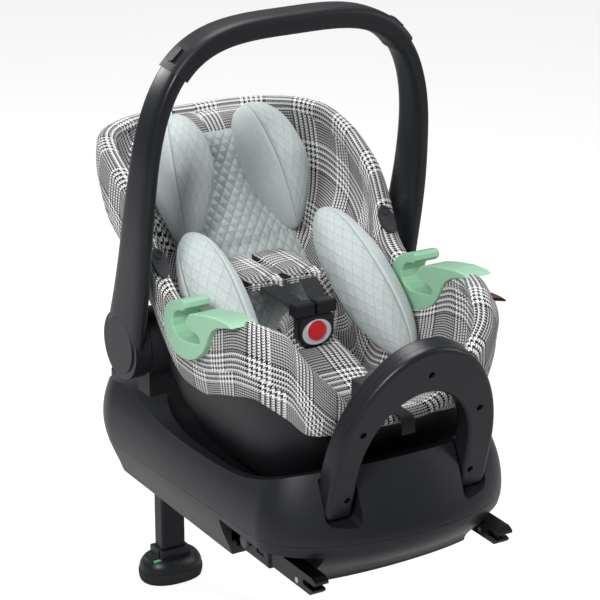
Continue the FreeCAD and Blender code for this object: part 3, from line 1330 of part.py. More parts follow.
# ---------------------------------------------------------------- handle
def arch_place(turn):
    """A place on the handle's middle line: turn runs from -1 at one hub to 1 at the other."""
    half, spring, top, hub_z = float_list(
        S.arch_half_width, S.arch_spring_z, S.arch_top_z, S.hub_z)
    sign = -1 if turn < 0 else 1
    amount = abs(turn)
    straight = 0.24
    if amount >= 1 - straight:
        share = (1 - amount) / straight
        x, z = half, hub_z + (spring - hub_z) * share
    else:
        angle = 0.5 * math.pi * amount / (1 - straight)
        x = half * math.sin(angle) ** (2 / 3.6)
        z = spring + (top - spring) * math.cos(angle) ** (2 / 3.6)
    reach = (z - hub_z) / (top - hub_z)
    lean_y = float(S.arch_top_y - S.hub_y)
    y = float(S.hub_y) + lean_y * min(1.0, 1.75 * reach - 0.76 * reach * reach)
    return Vector(sign * x, y, z), reach


def arch_frame(turn):
    """The middle line's place with its width and outward directions."""
    place, reach = arch_place(turn)
    before, after = arch_place(turn - 0.01)[0], arch_place(turn + 0.01)[0]
    if turn >= 0.99:
        after = place
    if turn <= -0.99:
        before = place
    along = (after - before).normalize()
    width = Vector(0, 1, 0) - along * along.y
    width.normalize()
    outward = width.cross(along)
    if outward.z < 0 and abs(turn) < 0.6:
        outward = outward * -1
    if outward.x * place.x < 0 and abs(turn) >= 0.6:
        outward = outward * -1
    return place, reach, width, outward


def arch_loft(turns, extra=0.0):
    """The handle's tapering form between the first and the last turn, grown outwards."""
    foot_w, top_w, arm_t, grip_t = float_list(
        S.arch_foot_width, S.arch_top_width, S.arm_thickness, S.grip_thickness)
    wires = []
    for turn in turns:
        place, reach, width, outward = arch_frame(turn)
        taper = (1 - reach) ** 1.3
        wide = (top_w + (foot_w - top_w) * taper) / 2 + extra
        thick = (arm_t + (grip_t - arm_t) * reach ** 3) / 2 + extra
        points = []
        for step in range(16):
            angle = 2 * math.pi * step / 16
            side, out = math.cos(angle), math.sin(angle)
            power = 0.5 if out > 0 else 0.72
            points.append(place + width * (wide * math.copysign(abs(side) ** 0.55, side))
                          + outward * (thick * math.copysign(abs(out) ** power, out)))
        wires.append(closed_curve(points))
    return Part.makeLoft(wires, True, False)


def handle_arch():
    """The carrying handle: two hubs, one tapering arch between them and its soft grip."""
    turns = [-0.985, -0.9, -0.8, -0.7, -0.6, -0.5, -0.42, -0.34, -0.24, -0.12, 0.0]
    turns += [-turn for turn in reversed(turns[:-1])]
    arch = arch_loft(turns)
    reach = float(S.sleeve_reach)
    shares = (1.0, 0.84, 0.66, 0.45, 0.22)
    ends = [-reach * share for share in shares] + [0.0]
    ends += [reach * share for share in reversed(shares)]
    sleeve = arch_loft(ends, float(S.sleeve_thickness)).cut(arch)
    for _side, sign in SIDES:
        x = [float(v) for v in side_range(sign, (S.hub_inner_x, S.hub_outer_x))]
        arch = arch.fuse(rod_x(S.hub_r, x[0], x[1], S.hub_y, S.hub_z))
    for _side, sign in SIDES:
        x = [float(v) for v in side_range(sign, (S.hub_outer_x - S.cap_sink, S.hub_outer_x + 20))]
        arch = arch.cut(rod_x(S.cap_r + 0.3, x[0], x[1], S.hub_y, S.hub_z))
        x = [float(v) for v in side_range(sign, (S.hub_inner_x - 30, S.hub_outer_x))]
        arch = arch.cut(rod_x(S.hub_pin_r + S.running_gap, x[0], x[1], S.hub_y, S.hub_z))
    # the arms stay outside the fixed hubs
    for _side, sign in SIDES:
        x = [float(v) for v in side_range(sign, (150, S.hub_inner_x))]
        arch = arch.cut(rod_x(S.hub_r + 1, x[0], x[1], S.hub_y, S.hub_z))
    turn_at = float(S.arch_button_angle) / 90 * 0.76
    buttons = {}
    for side, sign in SIDES:
        place, reach, width, outward = arch_frame(sign * turn_at)
        along = width.cross(outward)
        frame = FreeCAD.Matrix(along.x, width.x, outward.x, place.x,
                               along.y, width.y, outward.y, place.y,
                               along.z, width.z, outward.z, place.z, 0, 0, 0, 1)
        gap = float(S.slide_gap)
        half_l, half_w = float(S.arch_button_length) / 2, float(S.arch_button_width) / 2
        top = float(S.grip_thickness / 2 + S.sleeve_thickness) + 2
        low = top - float(S.arch_button_depth)
        travel = float(S.arch_button_travel)
        button = Part.makeBox(2 * half_l, 2 * half_w, top - low, Vector(-half_l, -half_w, low))
        uprights = [edge for edge in button.Edges if edge.BoundBox.ZLength > 1]
        button = button.makeFillet(4, uprights)
        pocket = Part.makeBox(2 * (half_l + gap), 2 * (half_w + gap), 60,
                              Vector(-half_l - gap, -half_w - gap, low - travel - 0.5))
        uprights = [edge for edge in pocket.Edges if edge.BoundBox.ZLength > 1]
        pocket = pocket.makeFillet(4 + gap, uprights)
        buttons[side] = button.transformGeometry(frame)
        pocket = pocket.transformGeometry(frame)
        arch = arch.cut(pocket)
        sleeve = sleeve.cut(pocket)
    feature(largest(arch), "handle_arch")
    feature(largest(sleeve), "handle_grip")
    for side, _sign in SIDES:
        feature(buttons[side], "handle_button_" + side)
    caps = []
    for side, sign in SIDES:
        x = side_range(sign, (S.hub_outer_x - S.cap_sink + 0.2, S.hub_outer_x + S.cap_stand))
        caps.append(cylinder("hub_cap_" + side, S.cap_r, S.cap_sink + S.cap_stand - 0.2,
                             (x[0], S.hub_y, S.hub_z), "x"))
    finish(group("hub_cap_pair", *caps), "hub_caps")


# ---------------------------------------------------------------- fittings on the rim
def rim_fittings():
    """The belt guides and the sun hood's mounts."""
    for side, sign in SIDES:
        label = "belt_guide_" + side
        body = new_body(label)
        middle = sign * (S.guide_x + S.guide_thickness / 2)
        outline = sketch_on(body, label + "_outline", "YZ_Plane", middle)
        polygon(outline, belt_guide_points()[0])
        pad = add_pad(body, outline, S.guide_thickness, symmetric=True)
        for offset in (S.guide_thickness / 2, -S.guide_thickness / 2):
            pad = add_fillet(body, pad, 2.0, flat_at("x", float(middle + offset)))
        finish(body, label)
    mounts = [hood_form(sign) for _side, sign in SIDES]
    feature(Part.makeCompound(mounts), "hood_mounts")


# ---------------------------------------------------------------- pads and cushions
def slab_along_back(name, start, length, half_bottom, half_top, thickness, off, corner):
    """A pad that lies along the back, with rounded corners."""
    y0, z0 = along_back(0.0, 0.0)
    points = [Vector(-half_bottom, start, off), Vector(half_bottom, start, off),
              Vector(half_top, start + length, off), Vector(-half_top, start + length, off)]
    solid = Part.Face(Part.makePolygon(points + points[:1])).extrude(Vector(0, 0, thickness))
    uprights = [edge for edge in solid.Edges
                if edge.BoundBox.ZLength > thickness * 0.9 and edge.BoundBox.XLength < 0.01]
    solid = solid.makeFillet(corner, uprights)
    solid.rotate(Vector(), Vector(1, 0, 0), float(S.back_angle))
    solid.translate(Vector(0, y0, z0))
    return solid


def ellipsoid(centre, halves, tilt, yaw=0.0, roll=0.0):
    """An ellipsoid: halves across X, along the tilted line and off it."""
    ball = Part.makeSphere(1.0)
    matrix = FreeCAD.Matrix()
    matrix.scale(halves[0], halves[1], halves[2])
    solid = ball.transformGeometry(matrix)
    solid.rotate(Vector(), Vector(0, 1, 0), roll)
    solid.rotate(Vector(), Vector(0, 0, 1), yaw)
    solid.rotate(Vector(), Vector(1, 0, 0), tilt)
    solid.translate(Vector(*centre))
    return solid


def pads():
    """The back and seat pads, the head pad with its wings, and the side bolsters."""
    thick = float(S.back_thickness)
    half = float(S.back_half_width)
    back = slab_along_back("back", 2.0, float(S.back_length), half, half * 0.84,
                           thick, -thick, 26)
    slot_y, slot_z = along_back(0.0, 0.0)
    angle = math.radians(float(S.back_angle))
    start = (float(S.shoulder_z) - float(S.back_foot_z)) / math.sin(angle)
    for _side, sign in SIDES:
        wide = float(S.strap_width) / 2 + 1.0
        slot = block((sign * S.strap_x - wide, sign * S.strap_x + wide),
                     (start - 4, start + 4), (-40, 40))
        slot.rotate(Vector(), Vector(1, 0, 0), float(S.back_angle))
        slot.translate(Vector(0, slot_y, slot_z))
        back = back.cut(slot)
    feature(back, "insert_back")

    rise = math.radians(float(S.seat_angle))
    length, thick = float(S.seat_length), float(S.seat_thickness)
    head_y = float(S.back_foot_y) - 6
    head_z = float(S.seat_foot_z) + 6 * math.tan(rise) + 0.5
    seat = Part.makeBox(2 * float(S.seat_half_width), length, thick,
                        Vector(-float(S.seat_half_width), -length, 0))
    uprights = [edge for edge in seat.Edges if edge.BoundBox.ZLength > 1]
    seat = seat.makeFillet(24, uprights)
    seat.rotate(Vector(), Vector(1, 0, 0), -float(S.seat_angle))
    seat.translate(Vector(0, head_y, head_z))
    wide = float(S.strap_width) / 2 + 1.0
    crotch_y = float(S.buckle_y + S.buckle_depth / 2)
    seat = seat.cut(block((-wide, wide), (crotch_y - 3, crotch_y + 3), (100, 300)))
    feature(seat, "insert_seat")

    deep = float(S.head_pad_thickness)
    head = slab_along_back("head", float(S.head_pad_start), float(S.head_pad_length),
                           float(S.head_pad_half), float(S.head_pad_half) * 0.84, deep, 0.5, 24)
    feature(head, "headrest_pad")
    y, z = along_back(float(S.wing_start), float(S.wing_off))
    behind = slab_along_back("behind", -200.0, 900.0, 400.0, 400.0, 300.0,
                             float(S.head_pad_thickness) + 1.0 - 300.0, 5)
    for side, sign in SIDES:
        halves = float_list(S.wing_thick, S.wing_long, S.wing_deep)
        wing = ellipsoid((sign * float(S.wing_x), y, z), halves, float(S.back_angle),
                         sign * float(S.wing_turn))
        feature(wing.cut(behind), "head_wing_" + side)
        halves = float_list(S.bolster_thick, S.bolster_long, S.bolster_deep)
        centre = (sign * float(S.bolster_x), float(S.bolster_y), float(S.bolster_z))
        feature(ellipsoid(centre, halves, 37, sign * 4), "bolster_" + side)


# ---------------------------------------------------------------- harness
def strap(points, thickness, x0, x1):
    """A flat strap: a line of straight runs in the YZ plane, thickened and widened."""
    upper, lower = [], []
    for index, (y, z) in enumerate(points):
        before = points[max(index - 1, 0)]
        after = points[min(index + 1, len(points) - 1)]
        dy, dz = after[0] - before[0], after[1] - before[1]
        size = math.hypot(dy, dz)
        ny, nz = -dz / size * thickness / 2, dy / size * thickness / 2
        upper.append((y + ny, z + nz))
        lower.append((y - ny, z - nz))
    return prism(upper + lower[::-1], x0, x1)


# the crotch pad's side outline: up from the seat, under the buckle and up behind it
CROTCH_OUTLINE = [(150, 155.4), (154, 162), (176, 173), (200, 182), (232, 194), (250, 197.5),
                  (258, 200), (262, 207), (264, 222), (267, 236), (271, 243), (277, 245.5),
                  (282, 242), (285, 232), (285, 214), (283, 190), (281, 148.6), (184, 169.2),
                  (176.5, 169.2), (176.5, 150.1)]


def harness():
    """The webbing, shoulder pads, buckle, crotch pad and adjuster."""
    thin = float(S.strap_thickness)
    wide = float(S.strap_width) / 2
    pad_low = float(S.shoulder_z - S.shoulder_pad_thickness / 2)
    pad_foot = float(S.shoulder_pad_foot_y)
    pad_head = pad_foot + float(S.shoulder_pad_length)
    middle = float(S.shoulder_z)
    buckle_top = float(S.buckle_z + S.buckle_half_height)
    buckle_mid = float(S.buckle_y + S.buckle_depth / 2)
    angle = math.radians(float(S.back_angle))
    slot_y = float(S.back_foot_y) + (middle - float(S.back_foot_z)) / math.tan(angle)
    bend = (pad_foot - 4, middle - 1)
    route = [(slot_y + 5, middle), (pad_head, middle), bend]
    end_y = buckle_mid + float(S.tongue_depth) - 4.7
    lower_route = [bend, (buckle_mid + 34, buckle_top + 15), (end_y, buckle_top + 9)]
    for side, sign in SIDES:
        x = sign * float(S.strap_x)
        upper = strap(route, thin, x - wide, x + wide)
        # under its pad the strap runs in towards the buckle
        pull = sign * float(S.strap_x - S.tongue_x) / (bend[0] - end_y)
        shear = FreeCAD.Matrix(1, pull, 0, -pull * bend[0], 0, 1, 0, 0, 0, 0, 1, 0, 0, 0, 0, 1)
        lower = strap(lower_route, thin, x - wide, x + wide).transformGeometry(shear)
        feature(upper.fuse(lower), "shoulder_strap_" + side)
        half = float(S.shoulder_pad_width) / 2
        solid = Part.makeBox(2 * half, float(S.shoulder_pad_length),
                             float(S.shoulder_pad_thickness), Vector(x - half, pad_foot, pad_low))
        edges = [edge for edge in solid.Edges if edge.BoundBox.YLength > 1]
        solid = solid.makeFillet(5, edges)
        tunnel = block((x - wide - 0.8, x + wide + 0.8), (pad_foot - 5, pad_head + 5),
                       (middle - 2.4, middle + 2.4))
        feature(solid.cut(tunnel), "shoulder_pad_" + side)

    body = new_body("buckle_body")
    front = S.buckle_y + S.buckle_face_depth + 0.2
    outline = sketch_on(body, "buckle_outline", "XZ_Plane", -front)
    x, z = S.buckle_half_width, S.buckle_half_height
    shape = [(-x + 8, S.buckle_z - z), (x - 8, S.buckle_z - z), (x, S.buckle_z - z + 12),
             (x, S.buckle_z + z - 4), (x - 4, S.buckle_z + z), (-x + 4, S.buckle_z + z),
             (-x, S.buckle_z + z - 4), (-x, S.buckle_z - z + 12)]
    polygon(outline, shape)
    add_pad(body, outline, S.buckle_depth - S.buckle_face_depth - 0.2, flip=True)
    bore = sketch_on(body, "buckle_bore", "XZ_Plane", -front)
    circle(bore, (0, S.buckle_z), S.buckle_button_r + S.slide_gap)
    add_pocket(body, bore, S.buckle_button_travel + 3, flip=False)
    mouth = sketch_on(body, "buckle_mouth", "XY_Plane", S.buckle_z + z)
    half_t = S.tongue_thickness / 2 + 0.3
    mouth_y = S.buckle_y + S.buckle_depth - 4
    polygon(mouth, [(-x + 5, mouth_y - half_t), (x - 5, mouth_y - half_t),
                    (x - 5, mouth_y + half_t), (-x + 5, mouth_y + half_t)])
    add_pocket(body, mouth, 14, flip=False)
    finish(body, "buckle_body")

    body = new_body("buckle_face")
    outline = sketch_on(body, "face_outline", "XZ_Plane", -S.buckle_y)
    inset = [(-x + 9, S.buckle_z - z + 1.5), (x - 9, S.buckle_z - z + 1.5),
             (x - 1.5, S.buckle_z - z + 13), (x - 1.5, S.buckle_z + z - 5),
             (x - 5, S.buckle_z + z - 1.5), (-x + 5, S.buckle_z + z - 1.5),
             (-x + 1.5, S.buckle_z + z - 5), (-x + 1.5, S.buckle_z - z + 13)]
    polygon(outline, inset)
    add_pad(body, outline, S.buckle_face_depth, flip=True)
    bore = sketch_on(body, "face_bore", "XZ_Plane", -S.buckle_y)
    circle(bore, (0, S.buckle_z), S.buckle_button_r + S.slide_gap)
    add_pocket(body, bore, S.buckle_face_depth + 1, flip=False)
    finish(body, "buckle_face")

    button = cylinder("buckle_button_form", S.buckle_button_r, S.buckle_face_depth + 4.5,
                      (0, S.buckle_y - 2, S.buckle_z), "y")
    finish(button, "buckle_button")

    tongues = []
    for side, sign in SIDES:
        x0, x1 = float_list(*side_range(sign, (1.0, S.buckle_half_width - 5.6)))
        tongue_mid = float(mouth_y)
        blade = block((x0, x1), (tongue_mid - float(S.tongue_thickness) / 2,
                                 tongue_mid + float(S.tongue_thickness) / 2),
                      (buckle_top - 12, buckle_top + 10))
        x0, x1 = float_list(*side_range(sign, (S.tongue_x - S.tongue_half_width,
                                               S.tongue_x + S.tongue_half_width)))
        housing = block((x0, x1), (buckle_mid - 5, buckle_mid - 5 + S.tongue_depth),
                        (buckle_top + 0.6, buckle_top + 0.6 + S.tongue_height))
        edges = [edge for edge in housing.Edges if edge.BoundBox.ZLength < 0.1
                 and edge.BoundBox.ZMin > buckle_top + 1]
        tongues.append(blade.fuse(housing.makeFillet(3, edges)))
    feature(Part.makeCompound(tongues), "buckle_tongues")

    rise = math.tan(math.radians(float(S.seat_angle)))
    seat_top = float(S.seat_foot_z) + (float(S.back_foot_y) - buckle_mid) * rise
    crotch = block((-wide, wide), (buckle_mid - thin / 2, buckle_mid + thin / 2),
                   (seat_top + 2, S.buckle_z - S.buckle_half_height - 0.3))
    feature(crotch, "crotch_strap")
    half = float(S.crotch_pad_width) / 2
    pad = prism(CROTCH_OUTLINE, -half, half)
    slot = block((-wide - 1, wide + 1), (buckle_mid - 4, buckle_mid + 4), (100, 230))
    plan = block((-half, half), (CROTCH_OUTLINE[0][0], S.buckle_y + 44), (100, 300))
    corners = [edge for edge in plan.Edges if edge.BoundBox.ZLength > 1]
    plan = plan.makeFillet(float(S.crotch_pad_round), corners)
    feature(pad.common(plan).cut(slot), "crotch_pad")

    low = S.adjuster_top_z - S.adjuster_depth
    button = box("adjuster_form", (-S.adjuster_half_width, S.adjuster_half_width),
                 (S.adjuster_foot_y, S.adjuster_foot_y + S.adjuster_length),
                 (low, S.adjuster_top_z))
    finish(button, "adjuster_button")
    lip = float(S.lip_z) + float(S.cloth_gap) + thin / 2
    edge_y = float(S.shell_foot_y) - float(S.cloth_gap + S.cover_wall)
    route = [(float(S.adjuster_foot_y) - 2, lip), (edge_y + 8, lip), (edge_y + 1, lip - 3),
             (edge_y - 2.5, lip - 9), (edge_y - 3, lip - float(S.adjuster_drop))]
    feature(strap(route, thin, -10, 10), "adjuster_strap")


# ---------------------------------------------------------------- build and write
base_mouldings()
base_frame()
rebound_bar()
support_leg()
for side_name, side_sign in SIDES:
    connector(side_name, side_sign)
docking()
carrier()
hubs()
handle_arch()
rim_fittings()
pads()
harness()
doc.recompute()


def write_parts():
    """Checks every object of the document and writes each sub-part to its own file."""
    for obj in doc.Objects:
        states = [state for state in obj.State if state in ("Invalid", "Error")]
        if states:
            raise RuntimeError("%s is %s" % (obj.Name, states))
    os.makedirs("parts", exist_ok=True)
    for obj in NODES:
        if obj.Shape.isNull() or not obj.Shape.isValid():
            raise RuntimeError("bad form: " + obj.Label)
        obj.Shape.exportStep(os.path.join("parts", obj.Label + ".step"))
    print(len(NODES), "sub-parts written")


write_parts()
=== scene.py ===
# %% [markdown]
# # An infant car seat, dressed in Blender
# The part comes from a CAD model: a moulded carrier with a carrying handle, docked on a
# base with two anchor connectors, a rebound bar and a support leg. The CAD gives every hard
# piece its shape. Here the hard pieces get their plastics and metals, and the soft ones are
# made again as cloth: cover, insert, cushions, shoulder pads, webbing. Everything is in
# metres. Many places below are given in millimetres from the line of the vehicle's anchors,
# because that is how the seat was drawn, and `at` turns them into the scene's frame.

# %% Load the frame and keep its size
import math
from functools import partial

import bmesh
import bpy
from mathutils import Matrix, Vector, noise


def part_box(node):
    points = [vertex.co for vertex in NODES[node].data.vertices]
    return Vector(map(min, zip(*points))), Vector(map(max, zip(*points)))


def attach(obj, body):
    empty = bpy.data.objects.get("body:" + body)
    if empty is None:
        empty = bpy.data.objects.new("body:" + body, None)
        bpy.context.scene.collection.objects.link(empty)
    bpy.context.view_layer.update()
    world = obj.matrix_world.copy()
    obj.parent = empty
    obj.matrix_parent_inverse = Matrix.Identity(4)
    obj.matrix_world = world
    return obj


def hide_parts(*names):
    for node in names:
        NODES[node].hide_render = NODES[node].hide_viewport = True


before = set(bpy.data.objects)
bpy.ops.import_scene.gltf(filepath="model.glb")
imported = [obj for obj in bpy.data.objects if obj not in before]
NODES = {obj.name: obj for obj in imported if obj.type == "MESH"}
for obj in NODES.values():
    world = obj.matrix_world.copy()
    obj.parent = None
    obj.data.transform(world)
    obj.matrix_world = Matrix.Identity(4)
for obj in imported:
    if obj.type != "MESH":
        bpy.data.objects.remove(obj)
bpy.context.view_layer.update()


# %% Places in millimetres from the anchor line
ANCHOR_Y, FLOOR_Z = 336.6, -320.0


def at(x, y, z):
    """A place in the scene from millimetres across, back from the anchors and up from them."""
    return Vector((x, y - ANCHOR_Y, z - FLOOR_Z)) / 1000.0


SIDES = (("left", 1), ("right", -1))
print("the anchor line lies at", tuple(round(v, 4) for v in at(0, 0, 0)))


# %% [markdown]
# ## Camera, floor and light
# A long lens from the front left and a little above, as for a catalogue picture. One big soft
# lamp stands at the left front, a weaker one at the right, and a pale dome fills the rest, so
# black plastic shows its form by broad soft highlights. The floor mixes its own shade with a
# plain white for the camera: it reads as white paper and still keeps the seat's shadow.

# %% Camera
CAMERA_PLACE = (-1.578, -2.6816, 1.716)
DOWN, TURNED = math.radians(20.45), math.radians(-30.95)
camera_data = bpy.data.cameras.new("camera")
camera_data.lens, camera_data.sensor_width = 148.02, 36.0
camera = bpy.data.objects.new("camera", camera_data)
camera.location = CAMERA_PLACE
camera.rotation_euler = (math.radians(90) - DOWN, 0.0, TURNED)
bpy.context.scene.collection.objects.link(camera)
bpy.context.scene.camera = camera
bpy.context.scene.view_settings.view_transform = "Standard"
print("camera", tuple(camera.location))


# %% Lamps
def soft_lamp(name, place, aim, size, power):
    """A square lamp that faces a place."""
    data = bpy.data.lights.new(name, "AREA")
    data.size = size
    data.energy = power
    lamp = bpy.data.objects.new(name, data)
    lamp.location = place
    lamp.rotation_euler = (Vector(aim) - Vector(place)).to_track_quat("-Z", "Y").to_euler()
    bpy.context.scene.collection.objects.link(lamp)


soft_lamp("key_lamp", (-2.1, -1.7, 2.5), (0.0, 0.0, 0.45), 1.0, 92.0)
soft_lamp("fill_lamp", (2.4, -1.3, 1.5), (0.0, 0.0, 0.4), 1.4, 22.0)
soft_lamp("edge_lamp", (-0.9, 2.5, 1.7), (0.0, 0.0, 0.4), 0.7, 26.0)
soft_lamp("top_lamp", (0.2, 0.7, 2.9), (0.0, 0.0, 0.4), 1.0, 42.0)


# %% Nodes and their links
def feed(socket, value):
    """A number or a colour set on an input, or an output of the same tree linked to it."""
    if isinstance(value, bpy.types.NodeSocket):
        socket.id_data.links.new(value, socket)
    else:
        socket.default_value = value


def add_node(tree, kind, inputs=None, **settings):
    """A node with its settings and what its inputs are fed with."""
    node = tree.nodes.new(kind)
    for name, value in settings.items():
        setattr(node, name, value)
    for name, value in (inputs or {}).items():
        feed(node.inputs[name], value)
    return node


def ray_mix(tree, rays, usual, seen):
    """One shader for most rays and another for the rays that are named."""
    path = add_node(tree, "ShaderNodeLightPath")
    mask = path.outputs[rays[0]]
    for ray in rays[1:]:
        mask = add_node(tree, "ShaderNodeMath", {0: mask, 1: path.outputs[ray]},
                        operation="MAXIMUM").outputs[0]
    return add_node(tree, "ShaderNodeMixShader", {"Fac": mask, 1: usual, 2: seen}).outputs[0]


print("node helpers ready")


# %% World
world = bpy.data.worlds.new("studio")
bpy.context.scene.world = world
world.use_nodes = True
world_tree = world.node_tree
world_tree.nodes.clear()
dome, backdrop = (
    add_node(world_tree, "ShaderNodeBackground", {"Color": colour, "Strength": strength}).outputs[0]
    for colour, strength in (((0.93, 0.96, 1.0, 1.0), 0.30), ((1.0, 1.0, 1.0, 1.0), 1.0)))
add_node(world_tree, "ShaderNodeOutputWorld", {
    "Surface": ray_mix(world_tree, ("Is Camera Ray", "Is Transmission Ray"), dome, backdrop)})
print("world set")

# %% Floor
floor_mesh = bpy.data.meshes.new("floor")
shape = bmesh.new()
bmesh.ops.create_grid(shape, x_segments=1, y_segments=1, size=20.0)
shape.to_mesh(floor_mesh)
shape.free()
floor = bpy.data.objects.new("floor", floor_mesh)
bpy.context.scene.collection.objects.link(floor)
paper = bpy.data.materials.new("paper_floor")
paper.use_nodes = True
paper_tree = paper.node_tree
paper_tree.nodes.clear()
matte, faint = (
    add_node(paper_tree, "ShaderNodeBsdfDiffuse", {"Color": (grey, grey, grey, 1.0)}).outputs[0]
    for grey in (0.55, 0.30))
white = add_node(paper_tree, "ShaderNodeEmission", {"Strength": 0.78}).outputs[0]
both = add_node(paper_tree, "ShaderNodeAddShader", {0: faint, 1: white}).outputs[0]
add_node(paper_tree, "ShaderNodeOutputMaterial",
         {"Surface": ray_mix(paper_tree, ("Is Camera Ray",), matte, both)})
floor_mesh.materials.append(paper)
print("floor set")


# %% [markdown]
# ## Helpers for materials
# Each effect that several finishes share is a node group: the leathery grain of moulded
# plastic, the glen check, the quilting, the mottled knit and the ribs of webbing. A group
# works out masks and heights only. The shader itself stays in each material, with its own
# plain numbers set on its own sockets.

# %% Small helpers for node trees
def calc(tree, operation, *values):
    """A math node fed by outputs or numbers."""
    return add_node(tree, "ShaderNodeMath", dict(enumerate(values)),
                    operation=operation).outputs[0]


def noise_of(tree, place, scale, detail=2.0):
    """Noise from 0 to 1 at a place."""
    return add_node(tree, "ShaderNodeTexNoise", {"Vector": place, "Scale": scale,
                                                 "Detail": detail}).outputs["Fac"]


def cloth_map(tree):
    """The cloth's own map in metres, whole and as its two numbers."""
    whole = add_node(tree, "ShaderNodeUVMap", uv_map="cloth").outputs["UV"]
    split = add_node(tree, "ShaderNodeSeparateXYZ", {"Vector": whole})
    return whole, split.outputs["X"], split.outputs["Y"]


def rib_wave(tree, place, pitch):
    """A wave of small ribs, one to a pitch."""
    return calc(tree, "PINGPONG", calc(tree, "DIVIDE", place, pitch), 0.5)


def blend_colours(tree, mask, dark, light):
    """A colour that goes from one to the other with a mask."""
    sides = [(*side, 1.0) if isinstance(side, tuple) else side for side in (dark, light)]
    return add_node(tree, "ShaderNodeMix", {"Factor": mask, "A": sides[0], "B": sides[1]},
                    data_type="RGBA").outputs["Result"]


def new_group(name, inputs, outputs):
    """A node group of numbers: itself, its sums, its inputs and its outputs."""
    group = bpy.data.node_groups.new(name, "ShaderNodeTree")
    for label, value in inputs.items():
        group.interface.new_socket(name=label, in_out="INPUT",
                                   socket_type="NodeSocketFloat").default_value = value
    for label in outputs:
        group.interface.new_socket(name=label, in_out="OUTPUT", socket_type="NodeSocketFloat")
    return (group, partial(calc, group), group.nodes.new("NodeGroupInput").outputs,
            group.nodes.new("NodeGroupOutput").inputs)


def use_group(tree, group, **values):
    """A group placed in a material with its own values."""
    return add_node(tree, "ShaderNodeGroup", values, node_tree=group).outputs


def new_material(name, roughness, metallic=0.0):
    """A material with its shader's plain numbers."""
    material = bpy.data.materials.new(name)
    material.use_nodes = True
    shader = material.node_tree.nodes["Principled BSDF"]
    shader.inputs["Roughness"].default_value = roughness
    shader.inputs["Metallic"].default_value = metallic
    return material, material.node_tree, shader


def add_bump(tree, shader, height, distance, strength=1.0):
    """Surface relief in metres from a height."""
    bump = add_node(tree, "ShaderNodeBump", {"Strength": strength, "Distance": distance,
                                             "Height": height})
    feed(shader.inputs["Normal"], bump.outputs["Normal"])


print("material helpers ready")


# %% [markdown]
# ## Moulded plastic
# The tool that moulds such a shell is etched, so the plastic carries a fine leathery grain
# that scatters its highlight. Two layers of noise give that grain and a slow drift of gloss
# where hands have polished it. Pointiness lightens sharp edges a little: a painted highlight.

# %% Grain of moulded plastic
grain_group, grain, given, made = new_group(
    "moulded_grain", {"Grain Size": 900.0, "Gloss": 0.42, "Gloss Drift": 0.12},
    ("Height", "Roughness", "Shade"))
surface = add_node(grain_group, "ShaderNodeTexCoord").outputs["Object"]
fine = noise_of(grain_group, surface, given["Grain Size"], 3.0)
slow = noise_of(grain_group, surface, 9.0, 4.0)
drift = grain("MULTIPLY", grain("SUBTRACT", slow, 0.5), given["Gloss Drift"])
speckle = grain("MULTIPLY_ADD", fine, 0.06, drift)
# the colour is lightened at sharp edges: a painted highlight along them
painted_edge_highlight = add_node(grain_group, "ShaderNodeNewGeometry").outputs["Pointiness"]
painted_edge_highlight = grain("MULTIPLY", grain("SUBTRACT", painted_edge_highlight, 0.52), 5.0)
painted_edge_highlight = grain("MINIMUM", grain("MAXIMUM", painted_edge_highlight, 0.0), 1.0)
feed(made["Height"], fine)
feed(made["Roughness"], grain("ADD", speckle, given["Gloss"]))
# Shade: a slow random tone plus the painted edge highlight
feed(made["Shade"], grain("MULTIPLY_ADD", slow, 0.5, painted_edge_highlight))
print("group:", grain_group.name)


# %% Plastics
DARK_PLASTIC, DARK_SPECULAR = 0.05, 0.34
SILVER_DARK, SILVER_LIGHT = (0.42, 0.43, 0.45), (0.54, 0.55, 0.57)


def plastic(name, dark, light, gloss, grain_size=900.0, relief=0.00006, drift=0.12):
    """A moulded plastic with a grain."""
    material, tree, shader = new_material(name, gloss)
    if light[0] < DARK_PLASTIC:
        shader.inputs["Specular IOR Level"].default_value = DARK_SPECULAR
    grained = use_group(tree, grain_group, **{"Grain Size": grain_size, "Gloss": gloss,
                                              "Gloss Drift": drift})
    # the grain's Shade lightens the colour at sharp edges, a painted highlight
    feed(shader.inputs["Base Color"], blend_colours(tree, grained["Shade"], dark, light))
    feed(shader.inputs["Roughness"], grained["Roughness"])
    add_bump(tree, shader, grained["Height"], relief)
    return material


base_black = plastic("base_black_plastic", (0.0070, 0.0074, 0.0095), (0.015, 0.0155, 0.019), 0.34)
handle_black = plastic("handle_black_plastic", (0.0060, 0.0064, 0.0085), (0.014, 0.0145, 0.018),
                       0.29, 1100.0, 0.00004)
grip_black = plastic("soft_grip_rubber", (0.0055, 0.0058, 0.0075), (0.012, 0.0125, 0.015), 0.46,
                     1600.0, 0.00005)
shell_black = plastic("shell_black_plastic", (0.0060, 0.0064, 0.0080), (0.014, 0.0144, 0.017), 0.46,
                      700.0, 0.00008)
cap_black = plastic("hub_cap_plastic", (0.0060, 0.0062, 0.0080), (0.012, 0.0124, 0.015), 0.30,
                    1300.0, 0.00002)
dark_grey = plastic("dark_grey_plastic", (0.020, 0.021, 0.026), (0.034, 0.035, 0.041), 0.45)
release_grey = plastic("release_grey_plastic", (0.05, 0.05, 0.056), (0.09, 0.09, 0.098), 0.45)
mint_plastic = plastic("mint_plastic", (0.270, 0.505, 0.335), (0.330, 0.580, 0.395), 0.38,
                       1400.0, 0.00002)
buckle_silver = plastic("silver_ring_plastic", SILVER_DARK, SILVER_LIGHT, 0.30, 1500.0, 0.00002)
red_plastic = plastic("red_button_plastic", (0.50, 0.006, 0.012), (0.66, 0.012, 0.020), 0.26,
                      1500.0, 0.00001)
rubber = plastic("sole_rubber", (0.012, 0.012, 0.013), (0.024, 0.024, 0.026), 0.72, 500.0, 0.0001)
